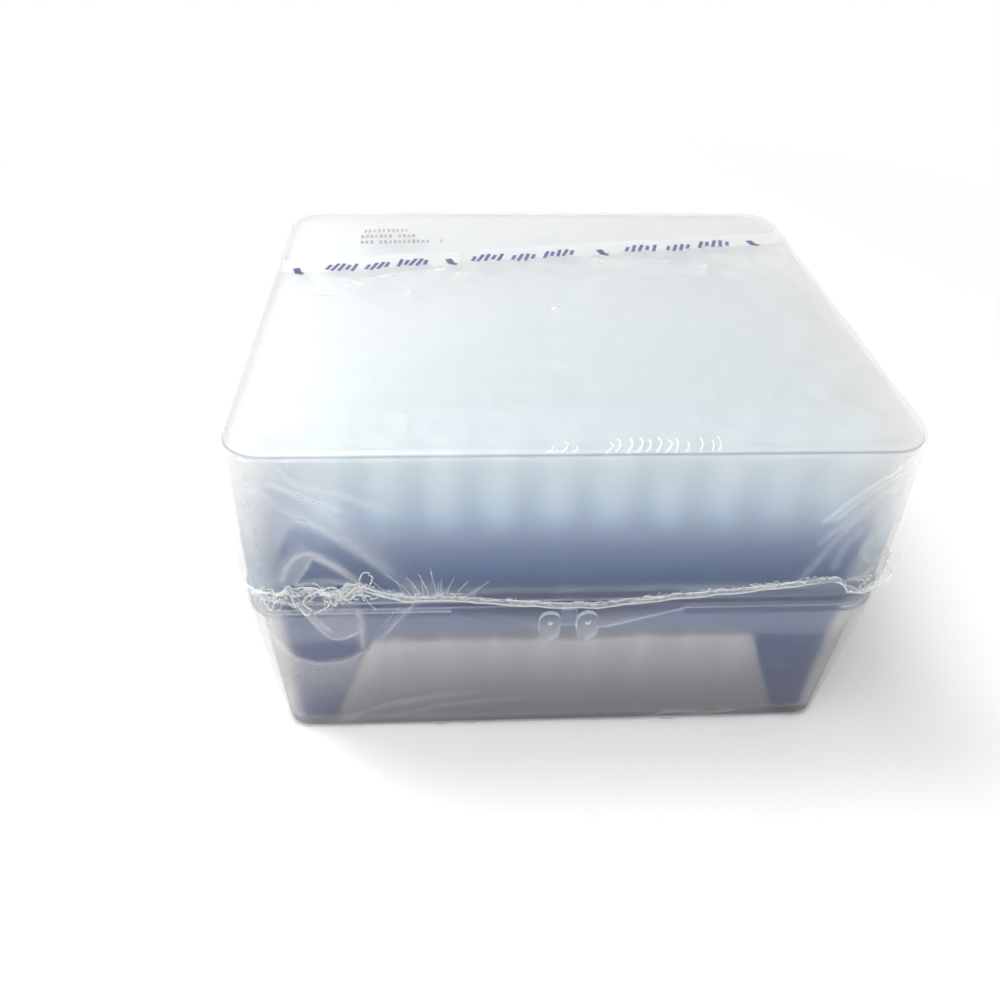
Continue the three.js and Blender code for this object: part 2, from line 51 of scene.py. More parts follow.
# ---- sizes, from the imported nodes


def corners(node):
    """Lowest and highest corner of a node, in millimetres."""
    return [np.array(c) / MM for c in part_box(node)]


BASE_LOW, BASE_HIGH = corners("base")
LID_HIGH = corners("lid")[1]
RACK_LOW, RACK_HIGH = corners("rack")
TIP_LOW, TIP_HIGH = corners("tip_01_01")

RIM_OUT = 0.8  # outermost line of the rim, past the lid's top outline
HALF_X = BASE_HIGH[0] - RIM_OUT
HALF_Y = -BASE_LOW[1] - RIM_OUT
RADIUS = 8.0  # of the box's upright corners, at the lid's top outline
FOOT = BASE_LOW[2]
LIP = 3.0
RIM = BASE_HIGH[2] - LIP  # where the lid meets the base
CLEARANCE = 0.3
GATE = 0.2  # height of the mould gate on the lid
LID_TOP = LID_HIGH[2] - GATE
FILLET = 1.5  # of the lid's top edge
SHOULDER = LID_TOP - FILLET
DECK = RACK_HIGH[2]
FILM_GAP = 0.42  # from the box to the outside of the film
ARCH_SIDE = 13.0  # from the box's side to the foot of an opening in the rack's skirt
ARCH_HIGH = 28.8
ARCH_SLOPE = 11 / ARCH_HIGH
FOOT_OUT = -2.8  # outermost line of the base's foot, inside the lid's top outline

FRONT = HALF_X - RADIUS
CORNER = RADIUS * math.pi / 2
SIDE = 2 * (HALF_Y - RADIUS)
HALF_ROUND = FRONT + CORNER + SIDE + CORNER + FRONT

# ---- meshes


def plan(s, out):
    """Points on the box's plan and the directions out of it, at arc lengths s from the middle of
    the front, positive to the right, and moved out from the lid's top outline."""
    s, out = np.broadcast_arrays(np.asarray(s, float), np.asarray(out, float))
    side = np.where(s < 0, -1.0, 1.0)
    a = np.abs(s)
    turn_front = np.clip((a - FRONT) / RADIUS, 0, math.pi / 2)
    turn_back = np.clip((a - FRONT - CORNER - SIDE) / RADIUS, 0, math.pi / 2)
    turn = turn_front + turn_back
    x = np.minimum(a, FRONT) - np.maximum(a - FRONT - 2 * CORNER - SIDE, 0)
    y = -HALF_Y + RADIUS + np.clip(a - FRONT - CORNER, 0, SIDE)
    normal = np.stack([side * np.sin(turn), -np.cos(turn)], -1)
    centre = np.stack([side * x, y], -1)
    return centre + normal * (RADIUS + out)[..., None], normal


def stations(near, far, reach):
    """Arc lengths once round the box: `near` apart up to `reach` from the middle of the front, and
    `far` apart behind that."""
    front = np.linspace(-reach, reach, 2 * round(reach / near) + 1)
    back = np.linspace(reach, 2 * HALF_ROUND - reach, round(2 * (HALF_ROUND - reach) / far) + 1)
    back = np.where(back > HALF_ROUND, back - 2 * HALF_ROUND, back)[1:-1]
    return np.unique(np.round(np.concatenate([front, back]), 4))


def round_stations(corner_steps, extra=()):
    """Arc lengths at the ends of the straight sides, through the corners, and at extra places."""
    turn = np.linspace(0, CORNER, corner_steps + 1)
    one = np.concatenate([FRONT + turn, FRONT + CORNER + SIDE + turn])
    return np.unique(np.round(np.concatenate([one, -one, extra]), 4))


def grid_faces(rows, columns, closed=False):
    """Quads of a grid of vertices in row order; closed joins the last column to the first."""
    row, column = np.meshgrid(
        np.arange(rows - 1), np.arange(columns if closed else columns - 1), indexing="ij"
    )
    a = (row * columns + column).ravel()
    b = (row * columns + (column + 1) % columns).ravel()
    return np.stack([a, b, b + columns, a + columns], -1)


def linked(name, data):
    obj = bpy.data.objects.new(name, data)
    bpy.context.scene.collection.objects.link(obj)
    return obj


def smooth(mesh, angle):
    """Smooth shading but for edges sharper than angle, in degrees."""
    mesh.shade_smooth()
    mesh.set_sharp_from_angle(angle=math.radians(angle))


def make(name, verts, faces, material=None, slot=None, attributes=(), angle=40):
    """An object from vertices in millimetres. With a material it is a piece of the box, and rides
    on the one body."""
    mesh = bpy.data.meshes.new(name)
    places = (np.asarray(verts, float) * MM).tolist()
    mesh.from_pydata(places, [], [list(map(int, face)) for face in faces])
    mesh.update()
    shape = bmesh.new()
    shape.from_mesh(mesh)
    bmesh.ops.recalc_face_normals(shape, faces=shape.faces)
    if sum(f.calc_center_median().dot(f.normal) * f.calc_area() for f in shape.faces) < 0:
        bmesh.ops.reverse_faces(shape, faces=shape.faces)
    shape.to_mesh(mesh)
    shape.free()
    smooth(mesh, angle)
    for key, values in attributes:
        layer = mesh.attributes.new(key, "FLOAT", "POINT")
        layer.data.foreach_set("value", np.asarray(values, np.float32).ravel())
    obj = linked(name, mesh)
    if material is not None:
        mesh.materials.append(material)
        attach(obj, "root")
    return obj


def lofted(rings):
    """Vertices and faces of a solid through rings of equal counts, each end closed by a fan."""
    count = len(rings[0])
    verts = np.concatenate([*rings, rings[0].mean(0)[None], rings[-1].mean(0)[None]])
    faces = grid_faces(len(rings), count, closed=True).tolist()
    low, high, last = len(verts) - 2, len(verts) - 1, (len(rings) - 1) * count
    for i in range(count):
        j = (i + 1) % count
        faces += [[low, j, i], [high, last + i, last + j]]
    return verts, faces


def ring(s, out, z):
    """Places at arc lengths round the box, at one height or at one each."""
    place, _ = plan(s, out)
    return np.concatenate([place, np.broadcast_to(z, place.shape[:1])[:, None]], 1)


def run_round(s, profile):
    """Vertices and faces of a profile of (distance out, height) run round the box."""
    return lofted([ring(s, out, z) for out, z in profile])


def prism(outline, axis, start, end):
    """Vertices and faces of an outline drawn across `axis` (0 x, 1 y) and run along it."""
    outline = np.asarray(outline, float)
    rings = [np.insert(outline, axis, place, axis=1) for place in (start, end)]
    count = len(outline)
    faces = grid_faces(2, count, closed=True).tolist()
    faces += [list(range(count)), list(range(2 * count - 1, count - 1, -1))]
    return np.concatenate(rings), faces


def together(parts):
    """Several closed meshes as one."""
    verts, faces, start = [], [], 0
    for v, f in parts:
        verts.append(np.asarray(v, float))
        faces += [[i + start for i in face] for face in f]
        start += len(v)
    return np.concatenate(verts), faces


def carve(target, operation, verts, faces):
    """Joins a closed mesh to target, or cuts it out."""
    tool = make("tool", verts, faces)
    modifier = target.modifiers.new("carve", "BOOLEAN")
    modifier.operation, modifier.object, modifier.solver = operation, tool, "EXACT"
    graph = bpy.context.evaluated_depsgraph_get()
    mesh = bpy.data.meshes.new_from_object(target.evaluated_get(graph))
    target.modifiers.clear()
    target.data = mesh
    smooth(mesh, 35)
    bpy.data.objects.remove(tool)


def arc(centre, radius, start, end, steps):
    """Points on an arc, angles in degrees."""
    turn = np.radians(np.linspace(start, end, steps + 1))
    return np.stack([centre[0] + radius * np.cos(turn), centre[1] + radius * np.sin(turn)], -1)


def circle(centre, radius, steps):
    return arc(centre, radius, 0, 360, steps)[:-1]


def mirrored(half):
    """An outline from its right half."""
    return [*half, *[(-x, z) for x, z in reversed(half)]]


# ---- materials


class Graph:
    """Node tree of a material or a world, built from the surface backwards."""

    def __init__(self, owner):
        owner.use_nodes = True
        self.owner, self.tree = owner, owner.node_tree
        self.tree.nodes.clear()

    def add(self, kind, sockets=None, **settings):
        """A node. sockets maps an input's name or number to a value or to an output."""
        node = self.tree.nodes.new("ShaderNode" + kind)
        for key, value in settings.items():
            setattr(node, key, value)
        for key, value in (sockets or {}).items():
            if isinstance(value, bpy.types.NodeSocket):
                self.tree.links.new(value, node.inputs[key])
            else:
                node.inputs[key].default_value = value
        return node

    def out(self, kind, sockets=None, **settings):
        """A node's first output."""
        return self.add(kind, sockets, **settings).outputs[0]

    def mix(self, factor, first, second):
        return self.out("MixShader", {0: factor, 1: first, 2: second})

    def colours(self, factor, first, second):
        return self.add("Mix", {0: factor, 6: first, 7: second}, data_type="RGBA").outputs[2]

    def math(self, operation, first, second=0.0):
        return self.out("Math", {0: first, 1: second}, operation=operation)

    def times(self, first, second):
        return self.math("MULTIPLY", first, second)

    def spread(self, value, low, high):
        """A value from 0 to 1 spread over low to high."""
        return self.out("MapRange", {0: value, 3: low, 4: high})

    def between(self, value, start, end):
        """0 to 1 as a place runs from start to end, in millimetres."""
        return self.out("MapRange", {0: value, 1: start * MM, 2: end * MM})

    def place(self):
        """Place on the object, in metres."""
        return self.add("TexCoord").outputs["Object"]

    def axes(self):
        """X, Y and Z on the object, in metres."""
        return self.add("SeparateXYZ", {0: self.place()}).outputs

    def noise(self, scale, detail=2.0):
        return self.out("TexNoise", {"Vector": self.place(), "Scale": scale, "Detail": detail})

    def done(self, surface, shadow=None):
        """Ends a material. A shadow colour lets light through to what lies behind."""
        if shadow is not None:
            clear = self.out("BsdfTransparent", {"Color": shadow})
            surface = self.mix(self.add("LightPath").outputs["Is Shadow Ray"], surface, clear)
        self.tree.links.new(surface, self.add("OutputMaterial").inputs["Surface"])
        return self.owner


def new_material(name):
    return Graph(bpy.data.materials.new(name))


def skirt_near_painted_arch_light(g, place):
    """How near the rack's skirt lies behind the wall: 0 across its four openings, where the
    base's milk is kept as painted light from inside the box.
    """
    rise = g.times(place["Z"], ARCH_SLOPE)
    legs = []
    for axis, half in (("X", HALF_X), ("Y", HALF_Y)):
        across = g.math("ADD", g.math("ABSOLUTE", place[axis]), rise)
        edge = half - ARCH_SIDE + ARCH_SLOPE * FOOT
        legs.append(g.between(across, edge - 0.5, edge + 1))
    above = g.between(place["Z"], FOOT + ARCH_HIGH - 1, FOOT + ARCH_HIGH + 0.5)
    near = g.math("MAXIMUM", g.math("MINIMUM", *legs), above)
    return g.times(near, g.spread(above, 1.0, 0.75))


# painted shade: the lid is tinted dark where it overlaps the base's lip, for the shaded gap behind
# it
LIP_PAINTED_SHADE = (0.4, 0.46, 0.6, 1)  # where the lid overlaps the base's lip
POLISHED_TINT = (0.84, 0.85, 0.88, 1)
# painted shade: a thin dark line tinted into the lid under its top edge
LINE_PAINTED_SHADE = (0.3, 0.32, 0.36, 1)
LINE_HALF = 0.35
BOTTOM_SHADE = (0.5, 0.49, 0.49, 1)  # what the base's thick bottom lets through
SOLID_MILK = 0.16


def frosted(name, *, heights, tints, milk, roughness, polished, glow, edge, shadow,
            line=None, solid=None, near=None):
    """Frosted polypropylene, which blurs the light and scatters part of it white.

    Tints, milk and roughness are given at two heights. It turns clear over the heights `polished`,
    and is whiter by `edge` seen on edge, a painted sheen. `glow` is the share scattered from
    behind, and `shadow` the light let through to the inside. It may have a painted shade line at
    the height
    `line` and a lip painted dark as shade low down, be milkier in front of the Y `solid`, and
    clearer where something lies `near`, so that its milk paints light from inside only elsewhere."""
    g = new_material(name)
    place = g.axes()
    up = g.between(place["Z"], *heights)
    clearer = g.between(place["Z"], *polished)
    tint = g.colours(up, *tints)
    # painted shade: the lid's tint turns dark just above the rim, over the base's lip
    if line is not None:
        tint = g.colours(g.between(place["Z"], RIM + 5.5, RIM + 4), tint, LIP_PAINTED_SHADE)
    tint = g.colours(clearer, tint, POLISHED_TINT)
    # painted shade line under the lid's top edge
    if line is not None:
        under = g.between(place["Z"], line - LINE_HALF, line)
        over = g.between(place["Z"], line + LINE_HALF, line)
        tint = g.colours(g.times(under, over), tint, LINE_PAINTED_SHADE)
    clear = g.out("BsdfPrincipled", {
        "Base Color": tint,
        "Roughness": g.spread(up, *roughness),
        "IOR": 1.47,
        "Specular IOR Level": 0.12,
        "Transmission Weight": 1.0,
    })
    front = g.out("BsdfDiffuse", {"Color": tint})
    back = g.out("BsdfTranslucent", {"Color": tint})
    cloud = g.times(g.spread(up, *milk), g.spread(clearer, 1.0, 0.0))
    cloud = g.times(cloud, g.spread(g.noise(45.0), 0.8, 1.2))
    # painted light: the milk stays across the skirt's openings, for light from inside, and goes in
    # front of the skirt
    if near is not None:
        cloud = g.times(cloud, g.spread(near(g, place), 1.0, 0.0))
    # painted sheen: white milk added where the surface is seen on edge
    edge_sheen = g.math("POWER", g.add("LayerWeight", {"Blend": 0.5}).outputs["Facing"], 7.0)
    cloud = g.math("ADD", cloud, g.times(edge_sheen, edge))
    if solid is not None:
        thick = g.between(place["Y"], solid, solid - 0.4)
        cloud = g.math("MAXIMUM", cloud, g.times(thick, SOLID_MILK))
    shade = g.colours(g.between(place["Z"], FOOT + 2.5, FOOT + 4), BOTTOM_SHADE, shadow)
    return g.done(g.mix(cloud, clear, g.mix(glow, front, back)), shadow=shade)


def moulded(name, dark, light, roughness):
    """Satin plastic with a faint mottle, which glows a little where lit from behind."""
    g = new_material(name)
    colour = g.colours(g.noise(180.0, 3.0), dark, light)
    skin = g.out("Bump", {"Strength": 0.15, "Distance": 0.0001, "Height": g.noise(2600.0)})
    front = g.out(
        "BsdfPrincipled", {"Base Color": colour, "Roughness": roughness, "Normal": skin}
    )
    back = g.out("BsdfTranslucent", {"Color": colour})
    return g.done(g.mix(0.3, front, back), shadow=(0.92, 0.92, 0.94, 1))


def natural(name):
    """Natural polypropylene of the tips, which glows through. Near the deck it is painted with the
    rack's blue light, and below the deck it is painted greyer as shade."""
    g = new_material(name)
    height = g.axes()["Z"]
    cloud = g.colours(g.noise(220.0), (0.56, 0.63, 0.67, 1), (0.63, 0.69, 0.73, 1))
    # painted light: blue from the rack near the deck
    cloud = g.colours(g.between(height, DECK + 7, DECK), cloud, (0.4, 0.66, 0.8, 1))
    # painted shade: greyer below the deck
    colour = g.colours(g.between(height, DECK, DECK - 12), cloud, (0.5, 0.5, 0.51, 1))
    skin = g.out("BsdfPrincipled", {"Base Color": colour, "Roughness": 0.5})
    glow = g.out("BsdfTranslucent", {"Color": colour})
    return g.done(g.mix(0.5, skin, glow), shadow=(0.985, 0.985, 0.985, 1))


def clear_film(name, milk_colour):
    """Clear film, whiter along creases, partly from the creases' own whitening and partly as
    painted highlight, and milky where it lies double.
    """
    g = new_material(name)
    crease_and_highlight, milk = (
        g.add("Attribute", attribute_name=key).outputs["Fac"] for key in ("crease_and_highlight", "milk")
    )
    height = g.noise(420.0, 3.0)
    ripple = g.out("Bump", {"Strength": 0.2, "Distance": 0.0002, "Height": height})
    through = g.out("BsdfTransparent", {"Color": (0.985, 0.988, 0.99, 1)})
    gloss = g.out("BsdfGlossy", {"Roughness": 0.14, "Normal": ripple})
    sheen = g.out("Fresnel", {"IOR": 1.22, "Normal": ripple})
    clear = g.mix(g.math("MINIMUM", sheen, 0.3), through, gloss)
    front = g.out("BsdfDiffuse", {"Color": milk_colour, "Normal": ripple})
    scatter = g.mix(0.5, front, g.out("BsdfTranslucent", {"Color": milk_colour}))
    patchy = g.times(milk, g.spread(g.noise(260.0, 3.0), 0.75, 1.2))
    white = g.math("MINIMUM", g.math("ADD", crease_and_highlight, patchy), 0.9)
    return g.done(g.mix(white, clear, scatter))


def tinted(name, colour, cover):
    """Thin print or tape that covers what is under it by `cover`."""
    g = new_material(name)
    shade = g.spread(g.noise(900.0), cover * 0.75, min(1.0, cover * 1.2))
    ink = g.out("BsdfPrincipled", {"Base Color": colour, "Roughness": 0.4})
    return g.done(g.mix(shade, g.out("BsdfTransparent"), ink))


FROSTED_LID = frosted(
    "frosted lid",
    heights=(RIM + 5, RIM + 19),
    # painted reflection and shade: the lower wall's tint is darker and bluer, for the rack's blue
    # reflected in it
    tints=((0.62, 0.82, 0.96, 1), (0.9, 0.9, 0.89, 1)),
    milk=(0.01, 0.04),
    roughness=(0.3, 0.58),
    polished=(RIM + 0.6, RIM - 5),
    glow=0.5,
    edge=0.6,
    shadow=(0.86, 0.87, 0.88, 1),
    line=LID_TOP - 0.8,
    solid=BASE_LOW[1] - 0.1,
)
FROSTED_BASE = frosted(
    "frosted base",
    heights=(FOOT, RIM - 8),
    # painted shade: the base's tint darkens towards the foot
    tints=((0.56, 0.56, 0.62, 1), (0.97, 0.97, 0.99, 1)),
    milk=(0.05, 0.3),
    roughness=(0.29, 0.3),
    polished=(RIM - 4, RIM - 1),
    glow=0.4,
    edge=0.12,
    shadow=(0.98, 0.98, 0.98, 1),
    near=skirt_near_painted_arch_light,
)
BLUE = moulded("blue rack", (0.004, 0.05, 0.19, 1), (0.008, 0.066, 0.24, 1), 0.6)
NATURAL = natural("tip plastic")
CLEAR_FILM = clear_film("clear film", (0.94, 0.93, 0.9, 1))
WELD = clear_film("film weld", (0.97, 0.97, 0.95, 1))
STRAND = clear_film("film strand", (0.98, 0.98, 0.95, 1))
TAPE = tinted("tear tape", (0.93, 0.93, 0.88, 1), 0.1)
INK = tinted("tape ink", (0.035, 0.03, 0.2, 1), 0.92)
FAINT_INK = tinted("faint ink", (0.25, 0.25, 0.28, 1), 0.4)

# ---- base

TAB_HALF = 23.0
TAB_LOW_HALF = 6.5
TAB_DROP = 5.5
TAB_FRONT = HALF_Y + RIM_OUT
TAB_BACK = TAB_FRONT - 1.2
LUGS = (-3.75, 3.75)
LUG_WIDTH = 4.2
LUG_DROP = 7.6
HINGES = (-35.0, 35.0)
HINGE_RADIUS = 2.0
HINGE_Y = HALF_Y + RIM_OUT + CLEARANCE + HINGE_RADIUS
PIN_RADIUS = 1.0
EAR = 2.0
KNUCKLE = 7.0
EAR_OFFSET = KNUCKLE / 2 + CLEARANCE + EAR / 2
RECESS = TAB_HALF + 0.32  # half the gap in the rim's flange, behind the thumb tab


def hinge_bar(x, radius, half):
    """A round bar on the hinges' axis."""
    return prism(circle((HINGE_Y, RIM), radius, 24), 0, x - half, x + half)


def make_base():
    stops = [TAB_HALF + 0.3, TAB_HALF + 0.35]
    s = round_stations(14, [*stops, *[-x for x in stops]])
    flange = np.where(np.abs(s) < RECESS, -0.7, RIM_OUT)
    low = RIM - 2
    profile = [
        (-9.0, FOOT + 0.8), (-8.8, FOOT), (FOOT_OUT - 1.0, FOOT), (FOOT_OUT - 0.35, FOOT + 0.25),
        (FOOT_OUT, FOOT + 0.9), (-1.9, FOOT + 18), (-1.0, low), (flange - 0.2, low),
        (flange, low + 0.2), (flange, RIM - 0.2), (flange - 0.2, RIM), (-1.4, RIM),
        (-1.4, RIM + LIP - 0.3), (-1.7, RIM + LIP), (-2.3, RIM + LIP), (-2.6, RIM + LIP - 0.3),
        (-4.1, FOOT + 4.0), (-4.5, FOOT + 2.5), (-5.5, FOOT + 2.0),
    ]
    body = make("base_bin", *run_round(s, profile), FROSTED_BASE, "frosted_base")
    wall = HALF_Y - 1.7
    clear = HINGE_Y - HINGE_RADIUS
    ear = np.array([
        (wall, RIM - 6), *arc((HINGE_Y, RIM), HINGE_RADIUS, -90, 90, 12),
        (clear, RIM + HINGE_RADIUS), (clear, RIM), (wall, RIM),
    ])
    middles = [x + side * EAR_OFFSET for x in HINGES for side in (-1, 1)]
    ears = [prism(ear, 0, x - EAR / 2, x + EAR / 2) for x in middles]
    catch = [(-wall, RIM - 6.2), (-wall, RIM - 4.6), (-TAB_BACK + 0.3, RIM - 6.2)]
    reach = LUGS[1] + LUG_WIDTH / 2
    carve(body, "UNION", *together([*ears, prism(catch, 0, -reach, reach)]))
    holes = [hinge_bar(x, PIN_RADIUS + 0.3, 7) for x in HINGES]
    carve(body, "DIFFERENCE", *together(holes))
    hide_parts("base")


make_base()

# ---- lid


def lug_outline(middle):
    """Outline of a latch lug in front of the thumb tab, round at both ends."""
    r = LUG_WIDTH / 2
    return [
        *arc((middle, RIM - LUG_DROP + r), r, 180, 360, 14),
        *arc((middle, RIM - 0.3 - r), r, 0, 180, 14),
    ]


def make_lid():
    s = round_stations(16)
    mouth = RIM + CLEARANCE
    rounding = [
        (FILLET * (math.cos(t) - 1), SHOULDER + FILLET * math.sin(t))
        for t in np.linspace(0, math.pi / 2, 8)
    ]
    profile = [
        (-3.0, LID_TOP - 1.4), (-1.9, LID_TOP - 1.7), (-1.4, LID_TOP - 2.4), (-1.1, mouth + 0.2),
        (-0.9, mouth), (RIM_OUT - 0.2, mouth), (RIM_OUT, mouth + 0.2), (RIM_OUT, mouth + 2.0),
        (RIM_OUT - 0.2, mouth + 2.2), (0.45, mouth + 2.25), (0.3, mouth + 2.5),
        (-0.25, SHOULDER - 0.7), (-0.3, SHOULDER - 0.15), *rounding,
    ]
    body = make("lid_cover", *run_round(s, profile), FROSTED_LID, "frosted_lid")
    gap = LUGS[1] - LUG_WIDTH / 2
    half = [
        (TAB_HALF, mouth + 1.1), (TAB_HALF, RIM - 0.5), (TAB_LOW_HALF + 2, RIM - TAB_DROP + 0.35),
        (TAB_LOW_HALF, RIM - TAB_DROP), (gap, RIM - TAB_DROP), (gap, RIM - 0.3),
    ]
    gate = [
        np.insert(circle((0, 0), radius, 32), 2, z, axis=1)
        for radius, z in ((1.5, LID_TOP - 0.5), (1.5, LID_TOP + 0.12), (1.25, LID_TOP + GATE))
    ]
    tab = prism(mirrored(half), 1, -TAB_FRONT, -TAB_BACK)
    carve(body, "UNION", *together([tab, lofted(gate)]))
    hook_low, hook_high = RIM - LUG_DROP + 1, RIM - 6.5
    hook = [
        (-TAB_BACK - 0.6, hook_low), (-TAB_BACK, hook_low), (-TAB_BACK + 0.6, hook_high),
        (-TAB_BACK - 0.6, hook_high),
    ]
    wall = HALF_Y - 0.4
    knuckle = [
        (wall, mouth + 0.2), (HINGE_Y - HINGE_RADIUS, mouth + 0.2),
        *arc((HINGE_Y, RIM), HINGE_RADIUS, 180, 450, 20), (wall, mouth + 6),
    ]
    for lug in LUGS:
        carve(body, "UNION", *prism(lug_outline(lug), 1, -TAB_FRONT - 0.95, -TAB_BACK))
        carve(body, "UNION", *prism(hook, 0, lug - LUG_WIDTH / 4, lug + LUG_WIDTH / 4))
        dimple = [
            np.insert(circle((lug, RIM - 2.6), radius, 20), 1, -TAB_FRONT - depth, axis=1)
            for radius, depth in ((0.35, 0.5), (0.7, 0.8), (0.95, 1.2))
        ]
        carve(body, "DIFFERENCE", *lofted(dimple))
    for x in HINGES:
        carve(body, "UNION", *prism(knuckle, 0, x - KNUCKLE / 2, x + KNUCKLE / 2))
        carve(body, "UNION", *hinge_bar(x, PIN_RADIUS, 5.8))
    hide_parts("lid")


make_lid()

# ---- rack and tips

ROWS = COLUMNS = 10
HOLE_RADIUS = 4.0


def tip_places(row):
    """Middles of a row's tips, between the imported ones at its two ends."""
    ends = []
    for column in (1, COLUMNS):
        low, high = corners(f"tip_{row:02d}_{column:02d}")
        ends.append((low + high)[:2] / 2)
    return [ends[0] + (ends[1] - ends[0]) * i / (COLUMNS - 1) for i in range(COLUMNS)]


def arch_outline(half):
    """Opening in a skirt wall, from below the foot up."""
    top, foot, bend = FOOT + ARCH_HIGH, half - ARCH_SIDE, 6
    crown = foot - ARCH_SLOPE * ARCH_HIGH
    ends = [(crown + ARCH_SLOPE * bend, top - bend), (crown, top), (crown - bend, top)]
    a, b, c = np.array(ends, float)
    t = np.linspace(0, 1, 9)[:, None]
    corner = (1 - t) ** 2 * a + 2 * t * (1 - t) * b + t * t * c
    return mirrored([(foot + ARCH_SLOPE, FOOT - 0.5), *corner])


def make_rack():
    s = round_stations(8)
    foot, top, wall = -4.9, -3.2, 1.5
    profile = [
        (top - wall, DECK - 2), (foot - wall, RACK_LOW[2]), (foot, RACK_LOW[2]),
        (top, DECK - 0.8), (top - 0.25, DECK - 0.25), (top - 0.8, DECK),
    ]
    body = make("rack_tray", *run_round(s, profile), BLUE, "blue_rack")
    for axis, half in ((1, HALF_X), (0, HALF_Y)):
        carve(body, "DIFFERENCE", *prism(arch_outline(half), axis, -80, 80))
    hole = [np.insert(circle((0, 0), HOLE_RADIUS, 20), 2, z, axis=1) for z in (DECK - 3, DECK + 1)]
    holes = [
        lofted([level + (*place, 0) for level in hole])
        for row in range(1, ROWS + 1) for place in tip_places(row)
    ]
    carve(body, "DIFFERENCE", *together(holes))
    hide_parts("rack", *[f"rack_row_{row:02d}" for row in range(2, ROWS)])


make_rack()


def tip_mesh(x, y):
    """A tip turned round its axis: up the outside from the point, over the mouth, down the bore."""
    low, high = TIP_LOW[2], TIP_HIGH[2]
    section = [
        (0.5, low), (0.62, low + 3), (1.5, low + 18), (2.7, DECK - 18), (3.0, DECK - 14),
        (3.65, DECK - 0.4), (3.7, DECK + 0.3), (4.6, DECK + 0.3), (4.6, DECK + 1.4),
        (4.15, DECK + 2.4), (4.2, high - 3.0), (4.4, high - 2.2), (4.4, high - 0.2),
        (4.2, high), (3.9, high), (3.8, high - 0.3), (2.9, DECK - 8), (1.3, low + 22), (0.25, low),
    ]
    sides = 18
    verts = [np.insert(circle((x, y), r, sides), 2, z, axis=1) for r, z in section]
    verts = np.concatenate(verts)
    return verts, grid_faces(len(section) + 1, sides, closed=True) % len(verts)


for row in range(1, ROWS + 1):
    tips = make(
        f"tips_row_{row:02d}", *together([tip_mesh(x, y) for x, y in tip_places(row)]),
        NATURAL, "tip_plastic",
    )
    ends = range(1, COLUMNS + 1) if row in (1, ROWS) else (1, COLUMNS)
    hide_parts(*[f"tip_{row:02d}_{column:02d}" for column in ends])

# ---- film round the box

FILM_LOW = FOOT - 0.2
INSET = 4.0  # how far inside the lid's top outline the film's side ends and its top begins
TOP_MILK = 0.08


def make_film(name, verts, faces, crease_and_highlight, milk, material=CLEAR_FILM, angle=180):
    """A piece of the film, with its whiteness along creases, partly painted highlight, and its
    milkiness at each vertex.
    """
    attributes = [("crease_and_highlight", crease_and_highlight), ("milk", milk)]
    return make(name, verts, faces, material, "clear_film", attributes, angle)


def film_out(z):
    """How far the film's side stands out where nothing pushes it further."""
    knots = [FOOT + 0.8, RIM - 2.5, RIM + 8, SHOULDER]
    return np.interp(z, knots, [FOOT_OUT, RIM_OUT, RIM_OUT, 0.0]) + FILM_GAP


def step(value, low, high):
    """0 below low, 1 above high, smooth between."""
    t = np.clip((value - low) / (high - low), 0, 1)
    return t * t * (3 - 2 * t)


def bell(value, width):
    return np.exp(-((value / width) ** 2))


def distance(s, z, points):
    """Distance from each place to a line through points."""
    points = np.asarray(points, float)
    best = np.full(np.shape(s), np.inf)
    for (s0, z0), (s1, z1) in zip(points[:-1], points[1:]):
        ds, dz = s1 - s0, z1 - z0
        t = np.clip(((s - s0) * ds + (z - z0) * dz) / (ds * ds + dz * dz), 0, 1)
        best = np.minimum(best, np.hypot(s - s0 - t * ds, z - z0 - t * dz))
    return best


def curve(points, parts=6):
    """A smooth line through points."""
    p = np.asarray(points, float)
    p = np.concatenate([[2 * p[0] - p[1]], p, [2 * p[-1] - p[-2]]])
    t = np.linspace(0, 1, parts, endpoint=False)[:, None]
    spans = [
        0.5 * (2 * b + (c - a) * t + (2 * a - 5 * b + 4 * c - d) * t**2
               + (3 * b - 3 * c + d - a) * t**3)
        for a, b, c, d in zip(p[:-3], p[1:-2], p[2:-1], p[3:])
    ]
    return np.concatenate([*spans, p[-2:-1]])


def waves(s, z, seed, wavelength, count=7):
    """Soft irregular waves between about -1 and 1."""
    rng = np.random.default_rng(seed)
    total = np.zeros(np.broadcast(s, z).shape)
    for _ in range(count):
        turn, phase = rng.uniform(0, 2 * math.pi, 2)
        k = 2 * math.pi / (wavelength * rng.uniform(0.7, 1.5))
        total += np.sin(k * (s * math.cos(turn) + z * math.sin(turn)) + phase)
    return total / math.sqrt(count)
